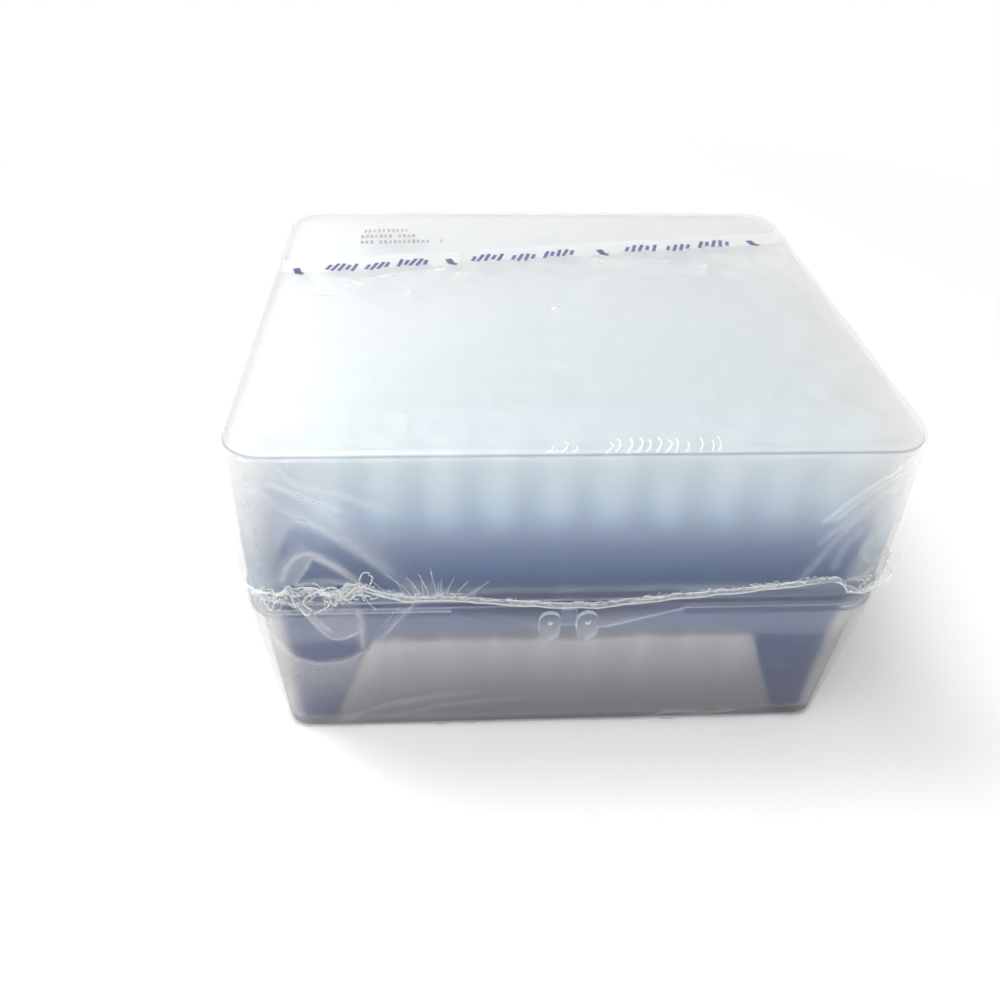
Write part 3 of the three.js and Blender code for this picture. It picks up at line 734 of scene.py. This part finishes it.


# Folds of the film: line through places on the side, half width, how far it stands out, and
# whiteness, which is partly the fold's own whitening and partly painted highlight.
FOLDS = [
    ([(-54.5, 50.5), (-53.5, 53.5), (-51.5, 56), (-49, 56.9), (-46.5, 55.5), (-43.5, 53),
      (-41, 50), (-40, 47.5)], 0.9, 1.0, 0.34),
    ([(-52, 49.5), (-50, 52.5), (-48.5, 55.5)], 0.6, 0.6, 0.22),
    ([(-52, 49.3), (-49, 49.7), (-46, 49.9), (-41, 48.8)], 0.9, 0.8, 0.25),
    ([(-48.5, 55.5), (-44.5, 52.5), (-41, 49)], 0.6, 0.5, 0.22),
    ([(-54.6, 48), (-54.8, 51), (-53.6, 54.6), (-50.5, 57.8)], 1.2, 0.3, 0.16),
    ([(-53, 44.5), (-51.5, 41.5), (-50, 38.8), (-48.7, 36), (-46.7, 33.5), (-44.5, 33.5),
      (-42, 35)], 0.6, 0.6, 0.4),
    ([(-51, 43), (-49.5, 39.5), (-47, 36)], 0.9, 0.3, 0.2),
    ([(-41, 41), (-40.6, 38.5), (-40.8, 36.4), (-41, 30.5)], 1.0, 0.5, 0.3),
    ([(-58.5, 37), (-57.5, 33.2), (-55, 27.7), (-53, 26.3), (-50.5, 25.5), (-46, 26), (-43.5, 27.3),
      (-39.7, 30.5), (-36.5, 34.7), (-33.3, 39.2), (-30, 43.5)], 1.2, 0.3, 0.14),
    ([(-57, 75), (-54, 73.6), (-49, 71.6), (-42.3, 69.2), (-35.5, 66.2)], 1.3, 0.1, 0.13),
    ([(-55, 72), (-51.8, 70.6), (-47.5, 68.2), (-42.8, 66)], 0.9, 0.1, 0.2),
    ([(-54, 75.6), (-50, 72), (-46, 67), (-43, 62.5)], 1.2, 0.1, 0.1),
    ([(-57, 70), (-53, 66.4), (-47, 62), (-41, 57), (-35, 51)], 1.8, 0.12, 0.1),
    ([(57.5, 75), (55, 72.2), (52, 69.4), (48.5, 65.6), (45.5, 62)], 0.8, 0.12, 0.26),
    ([(57.5, 73), (54.5, 70), (51, 66.4), (47.5, 62.2)], 0.6, 0.1, 0.24),
    ([(58, 71.5), (54, 67), (50.5, 63), (46, 57)], 1.0, 0.2, 0.16),
    ([(52.5, 64), (50, 60), (47.5, 54.5), (44.3, 47.5)], 1.2, 0.2, 0.16),
    ([(55, 58), (54.4, 55.6), (55.4, 53), (57.2, 52.4), (58.8, 53.4)], 0.8, 0.3, 0.16),
    ([(52.5, 60), (50.6, 55.5), (50, 51)], 1.2, 0.3, 0.14),
    ([(57.6, 50.5), (56, 48.5), (53.4, 47.6)], 0.7, 0.3, 0.2),
    ([(60.5, 38), (57.6, 36.4), (55, 36)], 0.8, 0.2, 0.14),
    ([(-47.2, 4.1), (-39.2, 8.5), (-30.3, 11.6), (-19.5, 13.8)], 1.2, 0.3, 0.1),
    ([(-36, 5), (-28, 8), (-16, 10.5), (-8, 11)], 1.0, 0.2, 0.08),
    ([(22, 3.2), (27, 4.6), (33, 3.4), (40, 4.6)], 0.7, 0.7, 0.22),
]

# Pockets where the film stands clear of the wall: convex outline, anticlockwise, and milkiness,
# which is partly painted light on the lifted film's facets; the negative milkiness paints a
# shaded facet darker.
POCKETS = [
    ([(-54.5, 48.5), (-41, 48.5), (-43.5, 53), (-46.5, 55.5), (-49, 56.9), (-51.5, 56),
      (-53.5, 53.5)], 0.22),
    ([(-52, 49.3), (-41, 49), (-44.5, 52.5), (-48.5, 55.4)], -0.2),
    ([(-53, 44.5), (-48.7, 36), (-45, 33.5), (-41, 35), (-41, 43)], 0.16),
    ([(-35, 49), (-30, 46.5), (-24, 46.5), (-26, 49)], 0.1),
    ([(52, 47.5), (60, 46), (62, 60), (56, 62)], 0.1),
]


def weld_height(s):
    """Height of the weld, which climbs from the latch to the front corners."""
    a = np.abs(s)
    front = np.interp(
        s,
        [-62, -53, -45, -40, -36, -32, -24, -18, -10, -2, 6, 14, 21, 35, 45, 51, 53, 54, 57, 62],
        [46, 46.8, 46, 47, 45.2, 43.9, 43.9, 43.1, 42.2, 41.4, 41.3, 42.4, 43.3, 44.9, 46.3, 47.2,
         46.4, 45, 44.3, 45.5],
    )
    return np.where(a < 62, front, np.interp(a, [62, 75, 120], [46, 46.5, 44]))


def push(s, z):
    """How far the lugs and the hinges push the film out."""
    lugs = 1 - step(np.abs(s), 5.6, 7.4)
    lugs = lugs * step(z, RIM - 11, RIM - 8.3) * (1 - step(z, RIM - 0.5, RIM + 1.8))
    from_back = HALF_ROUND - np.abs(s)
    hinges = 1 - step(np.abs(from_back - HINGES[1]), 6.0, 9.0)
    hinges = hinges * step(z, RIM - 12, RIM - 2.2) * (1 - step(z, RIM + 2.3, RIM + 10))
    return lugs * 1.05 + hinges * (HINGE_Y + HINGE_RADIUS - HALF_Y - RIM_OUT + 0.05)


def inside(s, z, outline, soft=0.6):
    """1 inside a convex outline given anticlockwise, 0 outside."""
    depth = np.full(s.shape, np.inf)
    for (s0, z0), (s1, z1) in zip(outline, outline[1:] + outline[:1]):
        ds, dz = s1 - s0, z1 - z0
        depth = np.minimum(depth, (ds * (z - z0) - dz * (s - s0)) / math.hypot(ds, dz))
    return step(depth, -soft, soft)


# Edge of the slack fold low on the left, and the tight swoop from the left corner to the weld.
SLACK_EDGE = (
    [-60, -57.5, -55, -53, -50.5, -46, -43.5, -39.7, -36.5, -33.3],
    [38, 33.2, 27.7, 26.3, 25.5, 26, 27.3, 30.5, 34.7, 39.2],
)
SWOOP = [-56, -53.3, -51.7, -49, -45, -40, -34.7, -32], [52, 58, 61, 61.5, 59, 54.2, 49.2, 46]


def beside(s, z, side, line, start, end, soft, depth):
    """1 just above (side 1) or below (-1) a line, fading off over depth. It comes in and goes out
    along the line over start and end, and across it over soft."""
    off = side * (z - np.interp(s, *line))
    reach = step(s, *start) * (1 - step(s, *end))
    return reach * step(off, *soft) * bell(np.maximum(off, 0), depth)


def haze(s, z):
    """Milkiness of the film's side, bunched at the corners and where it stands off the wall. The
    left corner is painted lighter than the right, as painted light from the left.
    """
    a = np.abs(s)
    corner = step(a, 52, 61) * (1 - step(a, 68, 80))
    # painted light: the left corner gets more milk than the right, as lit from the left
    total = np.where(s < 0, 0.34, 0.16) * corner * step(z, FOOT, FOOT + 22)
    for outline, milk in POCKETS:
        total += milk * inside(s, z, outline)
    total += 0.3 * beside(s, z, -1, SLACK_EDGE, (-62, -57), (-44, -34), (-0.2, 0.8), 11)
    total += 0.2 * beside(s, z, 1, SWOOP, (-58, -53), (-40, -28), (0, 2.5), 8)
    return np.clip(total, 0, 1)


def folds(s, z):
    """Outward shift and whiteness of the film's side at each place."""
    rise, white = np.zeros(s.shape), np.zeros(s.shape)
    for points, half, out, pale in FOLDS:
        d = distance(s, z, curve(points))
        rise = np.maximum(rise, out * bell(d, half))
        white = np.maximum(white, pale * bell(d, 0.7 * half))
    for outline, milk in POCKETS:
        rise = np.maximum(rise, 0.5 * step(milk, 0, 0.2) * inside(s, z, outline))
    # crumples along the weld near the front corners
    near_corner = bell(np.abs(s) - 55, 12)
    along_weld = bell(z - weld_height(s), 3.0)
    rise += 0.5 * (np.abs(waves(s, z, 4, 4.0)) * near_corner * along_weld)
    # gathers along the bottom and the top
    rise += 0.35 * bell(z - FOOT, 2.5) * step(waves(s, z * 0.3, 9, 5.0), 0.4, 1.4)
    rise += 0.15 * bell(z - LID_TOP, 2.2) * (1 + waves(s, z * 0.2, 5, 6.0))
    rise += 0.06 * waves(s, z * 0.6, 2, 28.0) + 0.06
    return rise, white


def make_film_around():
    """The film's side, from under the foot up round the lid's top edge, in rows of (distance out,
    height, whiteness, milkiness)."""
    s = stations(0.42, 4.5, 68.0)
    rows = [(FOOT_OUT - 1.5, FILM_LOW, 0, 0), (FOOT_OUT + 0.05, FILM_LOW + 0.25, 0, 0)]
    for z in np.linspace(FILM_LOW + 0.8, SHOULDER, 168):
        z = np.full(s.shape, z)
        rise, pale = folds(s, z)
        rows.append((film_out(z) + rise + push(s, z), z, pale, haze(s, z)))
    rise, pale = folds(s, np.full(s.shape, LID_TOP))
    radius = FILLET + FILM_GAP
    first = math.radians(15)
    for t in np.linspace(first, math.pi / 2, 6):
        out = -FILLET + radius * math.cos(t) + rise * math.cos(t)
        z = SHOULDER + radius * math.sin(t) + rise * math.sin(t) * 0.6
        rows.append((out, z, pale, TOP_MILK * (t - first) / (math.pi / 2 - first)))
    rows.append((-INSET, LID_TOP + FILM_GAP, 0, TOP_MILK))
    verts = np.concatenate([ring(s, out, z) for out, z, _, _ in rows])
    crease_and_highlight, milk = (
        np.concatenate([np.broadcast_to(row[i], s.shape) for row in rows]) for i in (2, 3)
    )
    film = make_film("film_around", verts, grid_faces(len(rows), len(s), True), crease_and_highlight, milk)
    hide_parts("film")


make_film_around()

# ---- film over the top and below


def strip_line(x):
    """Middle of the tear strip across the lid."""
    return 29.0 + 0.15 * x


# Painted glints on the top, painted highlights: middle, half length and lean.
PAINTED_GLINTS = [
    ((12.4, 23.5), 1.8, 2.3), ((28.9, 22.4), 1.2, 0.2), ((-25.6, 17.6), 1.6, 0.3),
    ((-20.5, 15.5), 1.2, 0.1), ((-44.2, 10.6), 1.5, 2.6), ((-31.7, 6), 0.8, 1.2),
    ((-0.5, -2.3), 0.8, 0.8), ((-38, 14), 2.2, 0.4), ((-50, 5), 1.6, 0.2), ((38, 20), 1.5, 1.4),
]


def rounded_sheet(n, out):
    """A square grid of places drawn to the box's rounded plan, moved out from it, and how far each
    is from the middle, from 0 to 1."""
    u, v = np.meshgrid(np.linspace(-1, 1, n), np.linspace(-1, 1, n))
    hx, hy, r = HALF_X + out, HALF_Y + out, RADIUS + out
    x, y = u * hx, v * hy
    cx, cy = np.clip(x, -(hx - r), hx - r), np.clip(y, -(hy - r), hy - r)
    dx, dy = x - cx, y - cy
    far = np.hypot(dx, dy)
    pull = np.where(far > 0, np.maximum(np.abs(dx), np.abs(dy)) / np.maximum(far, 1e-9), 1)
    return cx + dx * pull, cy + dy * pull, np.maximum(np.abs(u), np.abs(v))


def make_film_under():
    n = 40
    x, y, grow = rounded_sheet(n, FOOT_OUT - 1.5)
    z = FILM_LOW - 0.1 + 0.05 * np.abs(waves(x, y, 61, 14.0)) * (1 - grow**6)
    milk = 0.06 + 0.05 * np.abs(waves(x, y, 62, 9.0))
    verts = np.stack([x, y, z], -1).reshape(-1, 3)
    under = make_film("film_under", verts, grid_faces(n, n), np.zeros(x.shape), milk)
    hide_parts("film_underside")


def make_film_top():
    n = 190
    x, y, grow = rounded_sheet(n, -INSET)
    front = np.interp(x, [-60, -34, -23, -11.5, 2.6, 31, 59], [1, 1, 3.5, 8.7, 11.4, 12, 9.5])
    front = front + 1.2 * waves(x, 0, 41, 9.0)
    strip = strip_line(x)
    lumps = 0.5 + 0.5 * np.tanh(1.3 * waves(x * 1.2 + y * 0.5, y * 0.55, 42, 8.0))
    band = step(y, front - 3, front + 8.0) * (1 - step(y, strip - 4.5, strip - 2.5))
    milk = TOP_MILK + band * (0.03 + 0.1 * lumps) - 0.04 * (1 - step(np.abs(y - strip), 3, 4.5))
    pucker = bell(y - strip + 8, 6) * waves(x + y * 0.5, y * 0.4, 22, 8.0)
    wave = 0.05 * waves(x, y, 21, 16.0) * (1 - grow**8)
    lift = wave + 0.05 + 0.02 * pucker
    z = LID_TOP + FILM_GAP + 0.5 * (lift + np.hypot(lift, 0.04)) * (1 - grow**12)
    crease_and_highlight = 0.06 * step(pucker, 0.7, 1.5)
    for (cx, cy), length, lean in PAINTED_GLINTS:
        along = (x - cx) * math.cos(lean) + (y - cy) * math.sin(lean)
        over = (y - cy) * math.cos(lean) - (x - cx) * math.sin(lean)
        crease_and_highlight = np.maximum(crease_and_highlight, 0.5 * np.exp(-((along / length) ** 2) - (over / 0.55) ** 2))
    make_film("film_top", np.stack([x, y, z], -1).reshape(-1, 3), grid_faces(n, n), crease_and_highlight, milk)


make_film_under()
make_film_top()

# ---- weld, strip and marks


def on_side(s, z, lift):
    """Places on the film's side, `lift` outside it."""
    s, z, lift = (np.asarray(v, float) for v in (s, z, lift))
    place, _ = plan(s, film_out(z) + push(s, z) + lift)
    return np.concatenate([place, z[..., None]], -1)


def strand(places, radius, sides=5):
    """A thin round strand through places, pointed at both ends."""
    places = np.asarray(places, float)
    along = np.gradient(places, axis=0)
    along /= np.linalg.norm(along, axis=1)[:, None]
    across = np.cross(along, (0.23, 0.11, 0.97))
    across /= np.linalg.norm(across, axis=1)[:, None]
    other = np.cross(along, across)
    size = radius * np.minimum(1, 0.25 + 3 * np.sin(np.linspace(0, math.pi, len(places))))
    turn = np.linspace(0, 2 * math.pi, sides, endpoint=False)
    return lofted([
        p + r * (np.cos(turn)[:, None] * u + np.sin(turn)[:, None] * v)
        for p, r, u, v in zip(places, size, across, other)
    ])


def side_strand(points, radius, rng, rough=0.1):
    """A crinkled strand along the film's side through (arc length, height, lift)."""
    line = curve(points, 8)
    crinkle = rng.normal(0, rough, line.shape)
    crinkle[:, 2] = np.abs(crinkle[:, 2])
    line = line + crinkle
    line[:, 2] = np.maximum(line[:, 2], radius + 0.05)
    return strand(on_side(*line.T), radius)


def curl(rng, s, z, length):
    """A curling line that starts on the film's side, in (arc length, height, lift)."""
    count = 7
    heading = rng.uniform(0, 2 * math.pi)
    points, lift = [(s, z, 0.3)], 0.3
    for i in range(1, count):
        heading += rng.normal(0.5, 0.9)
        s, z = s + length / count * math.cos(heading), z + length / count * math.sin(heading)
        lift = float(np.clip(lift + rng.normal(0, 0.35), 0.25, 1.6))
        points.append((s, z, lift))
    return points


def weld_foot(s):
    """Height of the weld's lower edge, which is a little uneven."""
    return weld_height(s) + 0.1 * waves(s, 0, 31, 6.0)


def make_weld():
    """The weld's band, ruffled at the front corners and puckered at the left."""
    s = stations(0.45, 2.5, 76.0)
    root = weld_foot(s)
    gather = np.maximum(0, 1 - np.abs(np.abs(s) - 62) / 9)
    left = step(s, -62, -56) * (1 - step(s, -44, -36))
    wave = waves(s, 0, 33, 6.5)
    rows, white, milk = [], [], []
    for t in (0, 0.2, 0.4, 0.6, 0.8, 1):
        z = root + t * (1.3 + 0.15 * waves(s, 0, 34, 3.0)) * (1 - gather) + t * gather * 1.2 * wave
        z = z + t * left * (1.2 * waves(s, t * 2, 38, 3.5))
        out = 0.25 + 0.3 * math.sin(math.pi * t) + t * gather * (1.6 + 0.8 * waves(s, 0, 35, 5.0))
        out = out + t * left * (0.7 + 0.6 * waves(s, 0, 39, 2.5))
        rows.append(on_side(s, z, np.maximum(out, 0.2)))
        white.append(np.full(s.shape, 0.5 if t in (0, 1) else 0.08))
        milk.append(np.full(s.shape, 0.22) + 0.15 * waves(s, t, 36, 2.0))
    verts = np.concatenate(rows)
    faces = grid_faces(len(rows), len(s), closed=True)
    milk = np.clip(np.concatenate(milk), 0, 1)
    make_film("film_weld", verts, faces, np.concatenate(white), milk, WELD)


# Rolled edges and hairs of film: places on the side as (arc length, height, lift), and radius.
STRANDS = [
    ([(-60, 43, 0.6), (-58.4, 47.4, 1.0), (-57.6, 44, 1.2), (-56.8, 42.8, 1), (-55.7, 46.5, 1.2),
      (-54, 48, 1), (-53.2, 45, 0.8), (-52.7, 42, 0.6)], 0.16),
    ([(-52.5, 44, 0.8), (-51.2, 41.2, 1), (-49.9, 42.6, 1.2), (-51.2, 45, 1.2), (-49, 47, 1),
      (-47, 47.5, 0.8), (-46.2, 44.4, 0.8), (-48, 42, 0.6), (-50, 41.4, 0.6)], 0.15),
    ([(-53.5, 48, 0.8), (-50.5, 48.6, 1), (-47.5, 48, 1), (-45.2, 48.4, 0.8), (-43.4, 46, 0.8),
      (-41.4, 47.6, 0.6), (-39.4, 48, 0.6), (-36, 45.6, 0.4)], 0.15),
    ([(-47, 45.5, 0.8), (-45, 46.8, 1), (-43, 45.2, 1), (-41, 46.2, 0.8), (-38.5, 45.4, 0.6)],
     0.15),
    ([(-40.4, 49.5, 0.6), (-39.8, 51.6, 1), (-38.6, 52, 1), (-37.9, 50.4, 0.8),
      (-38.6, 48, 0.5)], 0.12),
    ([(-26, 46, 0.3), (-26.6, 49, 0.2), (-27.2, 52, 0.1)], 0.06),
    ([(-27.6, 46, 0.3), (-28.4, 48.4, 0.2), (-29.4, 50.8, 0.1)], 0.07),
    ([(-29, 45.6, 0.3), (-30.2, 48, 0.2), (-31.8, 50, 0.1)], 0.06),
    ([(-24.4, 45.8, 0.3), (-23.4, 48, 0.2), (-22.6, 49.8, 0.1)], 0.05),
    ([(-30.5, 45, 0.3), (-33, 48.4, 0.2), (-35.4, 50.8, 0.1)], 0.05),
    ([(-29.4, 44.6, 0.3), (-33, 39.4, 0.2), (-36.7, 33.8, 0.1)], 0.05),
    ([(-31.5, 44.4, 0.3), (-34.5, 40.4, 0.2), (-37.6, 35.8, 0.1)], 0.04),
    ([(-40, 45.6, 0.4), (-38.6, 43, 0.4), (-37.6, 41.6, 0.2)], 0.07),
    ([(51, 47.2, 0.4), (53, 46.6, 0.6), (54, 45, 0.6), (56, 44.2, 0.6), (58.5, 44.2, 0.6),
      (61, 45, 0.8), (63, 46.4, 1.4), (64, 48.6, 2.2), (63.4, 50.6, 1.8), (62.4, 51.2, 1)], 0.2),
    ([(59, 44.6, 0.6), (62, 44.4, 1), (64.6, 45, 2), (65.6, 47, 2.6), (65, 49, 2.4)], 0.16),
    ([(57, 45.4, 0.5), (59, 46.4, 0.8), (61, 46.2, 1), (63, 47.6, 1.4)], 0.12),
]


def make_strands(name, parts, crease_and_highlight):
    verts, faces = together(parts)
    clear = np.zeros(len(verts))
    make_film(name, verts, faces, clear + crease_and_highlight, clear, STRAND, angle=40)


def make_weld_strands():
    rng = np.random.default_rng(12)
    line = np.linspace(-45, 51, 380)
    parts = [strand(on_side(line, weld_foot(line), np.full(line.shape, 0.45)), 0.14)]
    # the upper edge, torn into short lengths, with rungs down to the lower one
    start = -45.0
    while start < 50:
        length = rng.uniform(0.8, 4.5)
        piece = np.linspace(start, start + length, 12)
        up = weld_height(piece) + 1.15 + rng.uniform(-0.2, 0.2) + 0.2 * waves(piece, 0, 37, 3.0)
        edge = on_side(piece, up, np.full(piece.shape, 0.5))
        parts.append(strand(edge, rng.uniform(0.05, 0.13), 4))
        rung = on_side(piece[[0, 3, 6]], up[[0, 3, 6]] - (0, 0.5, 1.1), np.full(3, 0.5))
        parts.append(strand(rung, 0.07, 4))
        start += length * rng.uniform(0.8, 1.3)
    # fringe
    for place in np.concatenate([rng.uniform(-50, -20, 160), rng.uniform(-20, 50, 190)]):
        z = weld_height(place) + rng.uniform(0.6, 1.9)
        lean, length = rng.normal(0.15, 0.9), rng.uniform(0.3, 1.0)
        t = np.linspace(0, 1, 4)
        hair = on_side(place + lean * length * t, z + length * t, 0.4 + 0.5 * t)
        parts.append(strand(hair, rng.uniform(0.045, 0.09), 3))
    parts += [side_strand(points, radius, rng) for points, radius in STRANDS]
    # froth where the weld is gathered at the two front corners
    for _ in range(70):
        place = rng.uniform(-59.5, -38)
        z = weld_height(place) + rng.uniform(-3.2, 1.6) * (1 if place < -45 else 0.5)
        points = curl(rng, place, z, rng.uniform(1.6, 4.2))
        parts.append(side_strand(points, rng.uniform(0.05, 0.12), rng, 0.06))
    for _ in range(22):
        place = rng.uniform(56, 65)
        z = weld_height(place) + rng.uniform(-1, 4.0)
        parts.append(side_strand(curl(rng, place, z, rng.uniform(1.2, 3.2)), 0.07, rng, 0.06))
    # hairs that fan out above the weld, left of the latch
    for _ in range(16):
        place, tall = rng.uniform(-36, -20), rng.uniform(1.5, 5.5)
        lean = (place + 27.5) * 0.09 + rng.normal(0, 0.1)
        z = weld_height(place)
        hair = [(place, z + 0.5, 0.35), (place + lean * tall * 0.5, z + tall * 0.6, 0.2),
                (place + lean * tall, z + tall, 0.12)]
        parts.append(side_strand(hair, 0.05, rng, 0.03))
    make_strands("film_strands", parts, 0.4)


make_weld()
make_weld_strands()

STRIP_HALF = 3.5
STRIP_DROP = 20.0


def strip_points(across, lift):
    """Places along the tear strip, from left to right: across is the share of its half width, and
    lift how far it lies outside the lid."""
    heights = np.linspace(LID_TOP - STRIP_DROP, SHOULDER, 14)
    half = [(film_out(z) - FILM_GAP + lift, z) for z in heights]
    half += [
        ((FILLET + lift) * math.cos(t) - FILLET, SHOULDER + (FILLET + lift) * math.sin(t))
        for t in np.radians([22, 45, 68, 90])
    ]
    left = [(-HALF_X - out, z) for out, z in half]
    end = left[-1][0]
    middle = [(x, LID_TOP + lift) for x in np.linspace(end, -end, 42)[1:-1]]
    path = np.array([*left, *middle, *[(-x, z) for x, z in reversed(left)]])
    x, z = path.T
    return np.stack([x, strip_line(x) + across * STRIP_HALF, z], -1)


def make_strip():
    under = [strip_points(a, 0.08) for a in (-1, -0.5, 0, 0.5, 1)]
    over = [strip_points(a, 0.2) for a in (1, 0.5, 0, -0.5, -1)]
    rings = np.stack([*under, *over], 1)
    count = rings.shape[1]
    verts = rings.reshape(-1, 3)
    faces = grid_faces(len(rings), count, closed=True).tolist()
    last = len(verts) - count
    faces += [list(range(count))[::-1], list(range(last, last + count))]
    strip = make("tear_tape", verts, faces, TAPE, "tear_tape")
    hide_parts("tear_strip")


make_strip()


def mark(x, y, wide, tall, lean, z):
    """A thin slanted bar lying on the lid's top."""
    outline = np.array([(-wide, -tall), (wide, -tall), (wide, tall), (-wide, tall)]) / 2
    turn = np.array([(math.cos(lean), math.sin(lean)), (-math.sin(lean), math.cos(lean))])
    outline = outline @ turn + (x, y)
    return lofted([np.insert(outline, 2, level, axis=1) for level in (z, z + 0.04)])


def make_tape_marks(rng):
    """Slanted dashes in three groups along the tear strip, with a fleck between them."""
    z = LID_TOP + 0.22
    bars = []
    for x in (-58, -22.7, 14.3, 53.3):
        y = 26.4 + 0.155 * x
        bars += [mark(x, y, 1.6, 3.0, 0.3, z), mark(x + 0.7, y - 1.2, 2.0, 1.2, -0.5, z)]
    for start, end in ((-51, -28.5), (-17, 7), (21, 47)):
        for i, x in enumerate(np.linspace(start, end, 16)):
            if i in (5, 10):
                continue
            y = 26.8 + 0.155 * x + 0.6 * math.sin(x / 3.0)
            tall = 4.2 if i % 3 else 2.7
            bars.append(mark(x, y, 0.85, tall, rng.normal(-0.28, 0.05), z))
    make("tape_marks", *together(bars), INK, "tear_tape")


def make_faint_print(rng):
    """Three short rows of plain bars at the back of the top."""
    bars = []
    for y, start, end in ((42, -44, -33), (38.4, -44.5, -31), (34.8, -45.5, -24)):
        for x in np.arange(start, end, 1.15):
            if rng.uniform() < 0.88:
                tall = rng.uniform(1.3, 2.2)
                bars.append(mark(x, y + 0.06 * (x + 40), 0.75, tall, 0.05, LID_TOP + 0.06))
    make("faint_print", *together(bars), FAINT_INK, "clear_film")


# Curls of film along the front of the top: x, how far back each runs, and thickness.
CURLS = [
    (-7, 2.4, 0.1), (-4.6, 3.6, 0.14), (-2.5, 2.2, 0.1), (3.2, 3.2, 0.12), (5, 4.4, 0.18),
    (6.9, 4.6, 0.2), (8.6, 4.8, 0.2), (10.2, 4.2, 0.2), (11.9, 4.8, 0.22), (13.6, 4.0, 0.2),
    (15.4, 4.4, 0.18), (17.2, 3.4, 0.14), (19.6, 4.8, 0.14), (21.4, 3.8, 0.12),
    (22.8, 5.0, 0.12),
]


def make_curls(rng):
    """The curls, and two lines at the left front corner of the top."""
    high = LID_TOP + FILM_GAP + 0.12
    parts = []
    for x, tall, thick in CURLS:
        t, bow = np.linspace(0, 1, 9), rng.uniform(0.5, 1.5)
        along = x + bow * np.sin(2.6 * t) + 0.6 * t
        places = np.stack([along, -56.3 + tall * t, high + 0.3 * np.sin(math.pi * t)], -1)
        parts.append(strand(places, 0.75 * thick))
    for start, end in (((-60.3, -48.1), (-56.1, -45.1)), ((-58.6, -52.7), (-53.3, -49.1))):
        t = np.linspace(0, 1, 6)[:, None]
        places = np.array([*start, high]) * (1 - t) + np.array([*end, high]) * t
        parts.append(strand(places, 0.07))
    make_strands("film_curls", parts, 0.6)


top_rng = np.random.default_rng(5)
make_tape_marks(top_rng)
make_faint_print(top_rng)
make_curls(top_rng)

# ---- picture


def make_floor():
    """A pale floor that runs into the white around it, as the photograph's does."""
    g = new_material("floor")
    near = g.out("BsdfDiffuse", {"Color": (0.76, 0.75, 0.74, 1)})
    far = g.out("Emission", {"Color": (1, 1, 1, 1)})
    middle = g.add("VectorMath", {0: g.place()}, operation="LENGTH").outputs["Value"]
    seen = g.times(g.between(middle, 170, 420), g.add("LightPath").outputs["Is Camera Ray"])
    verts = [(-4000, -1500, 0), (4000, -1500, 0), (4000, 4000, 0), (-4000, 4000, 0)]
    floor = make("floor", verts, [(0, 1, 2, 3)])
    floor.data.materials.append(g.done(g.mix(seen, near, far)))


def make_world():
    """White where it is seen or mirrored, and dimmer as a light."""
    world = bpy.data.worlds.new("studio")
    bpy.context.scene.world = world
    g = Graph(world)
    path = g.add("LightPath").outputs
    shown = path["Is Camera Ray"]
    for ray in ("Is Glossy Ray", "Is Transmission Ray"):
        shown = g.math("MAXIMUM", shown, path[ray])
    seen = g.out("Background", {"Color": (1, 1, 1, 1)})
    light = g.out("Background", {"Color": (1, 0.99, 0.985, 1), "Strength": 0.6})
    out = g.add("OutputWorld")
    g.tree.links.new(g.mix(shown, light, seen), out.inputs["Surface"])


def add_lamp(name, place, target, size, power, colour=(1, 1, 1)):
    """A round lamp that faces the target."""
    data = bpy.data.lights.new(name, "AREA")
    data.shape, data.size, data.energy, data.color = "DISK", size * MM, power, colour
    lamp = linked(name, data)
    lamp.location = Vector(place) * MM
    lamp.rotation_euler = (Vector(target) - Vector(place)).to_track_quat("-Z", "Y").to_euler()


def add_camera():
    """The photograph's view, fitted to the box's edges."""
    data = bpy.data.cameras.new("camera")
    data.sensor_width, data.lens = 36.0, 32.0
    camera = linked("camera", data)
    yaw, pitch, roll = (math.radians(a) for a in (-3.84, -38.61, -1.73))
    turn = Matrix.Rotation(yaw, 3, "Z") @ Matrix.Rotation(pitch, 3, "X")
    turn = turn @ Matrix.Rotation(roll, 3, "Y")
    camera.rotation_euler = (turn @ Matrix.Rotation(math.pi / 2, 3, "X")).to_euler()
    camera.location = Vector((-22.6, -178.1, 165.7)) * MM
    data.clip_start, data.clip_end = 0.01, 50
    bpy.context.scene.camera = camera


make_floor()
make_world()
add_lamp("key", (-560, 270, 950), (0, 0, 30), 600, 10.1, (1, 0.985, 0.965))
add_lamp("fill", (-250, -300, 800), (0, 0, 20), 500, 2.6)
add_lamp("front", (-200, -620, 330), (0, 0, 20), 600, 2.0)
add_camera()

bpy.context.scene.view_settings.view_transform = "Standard"
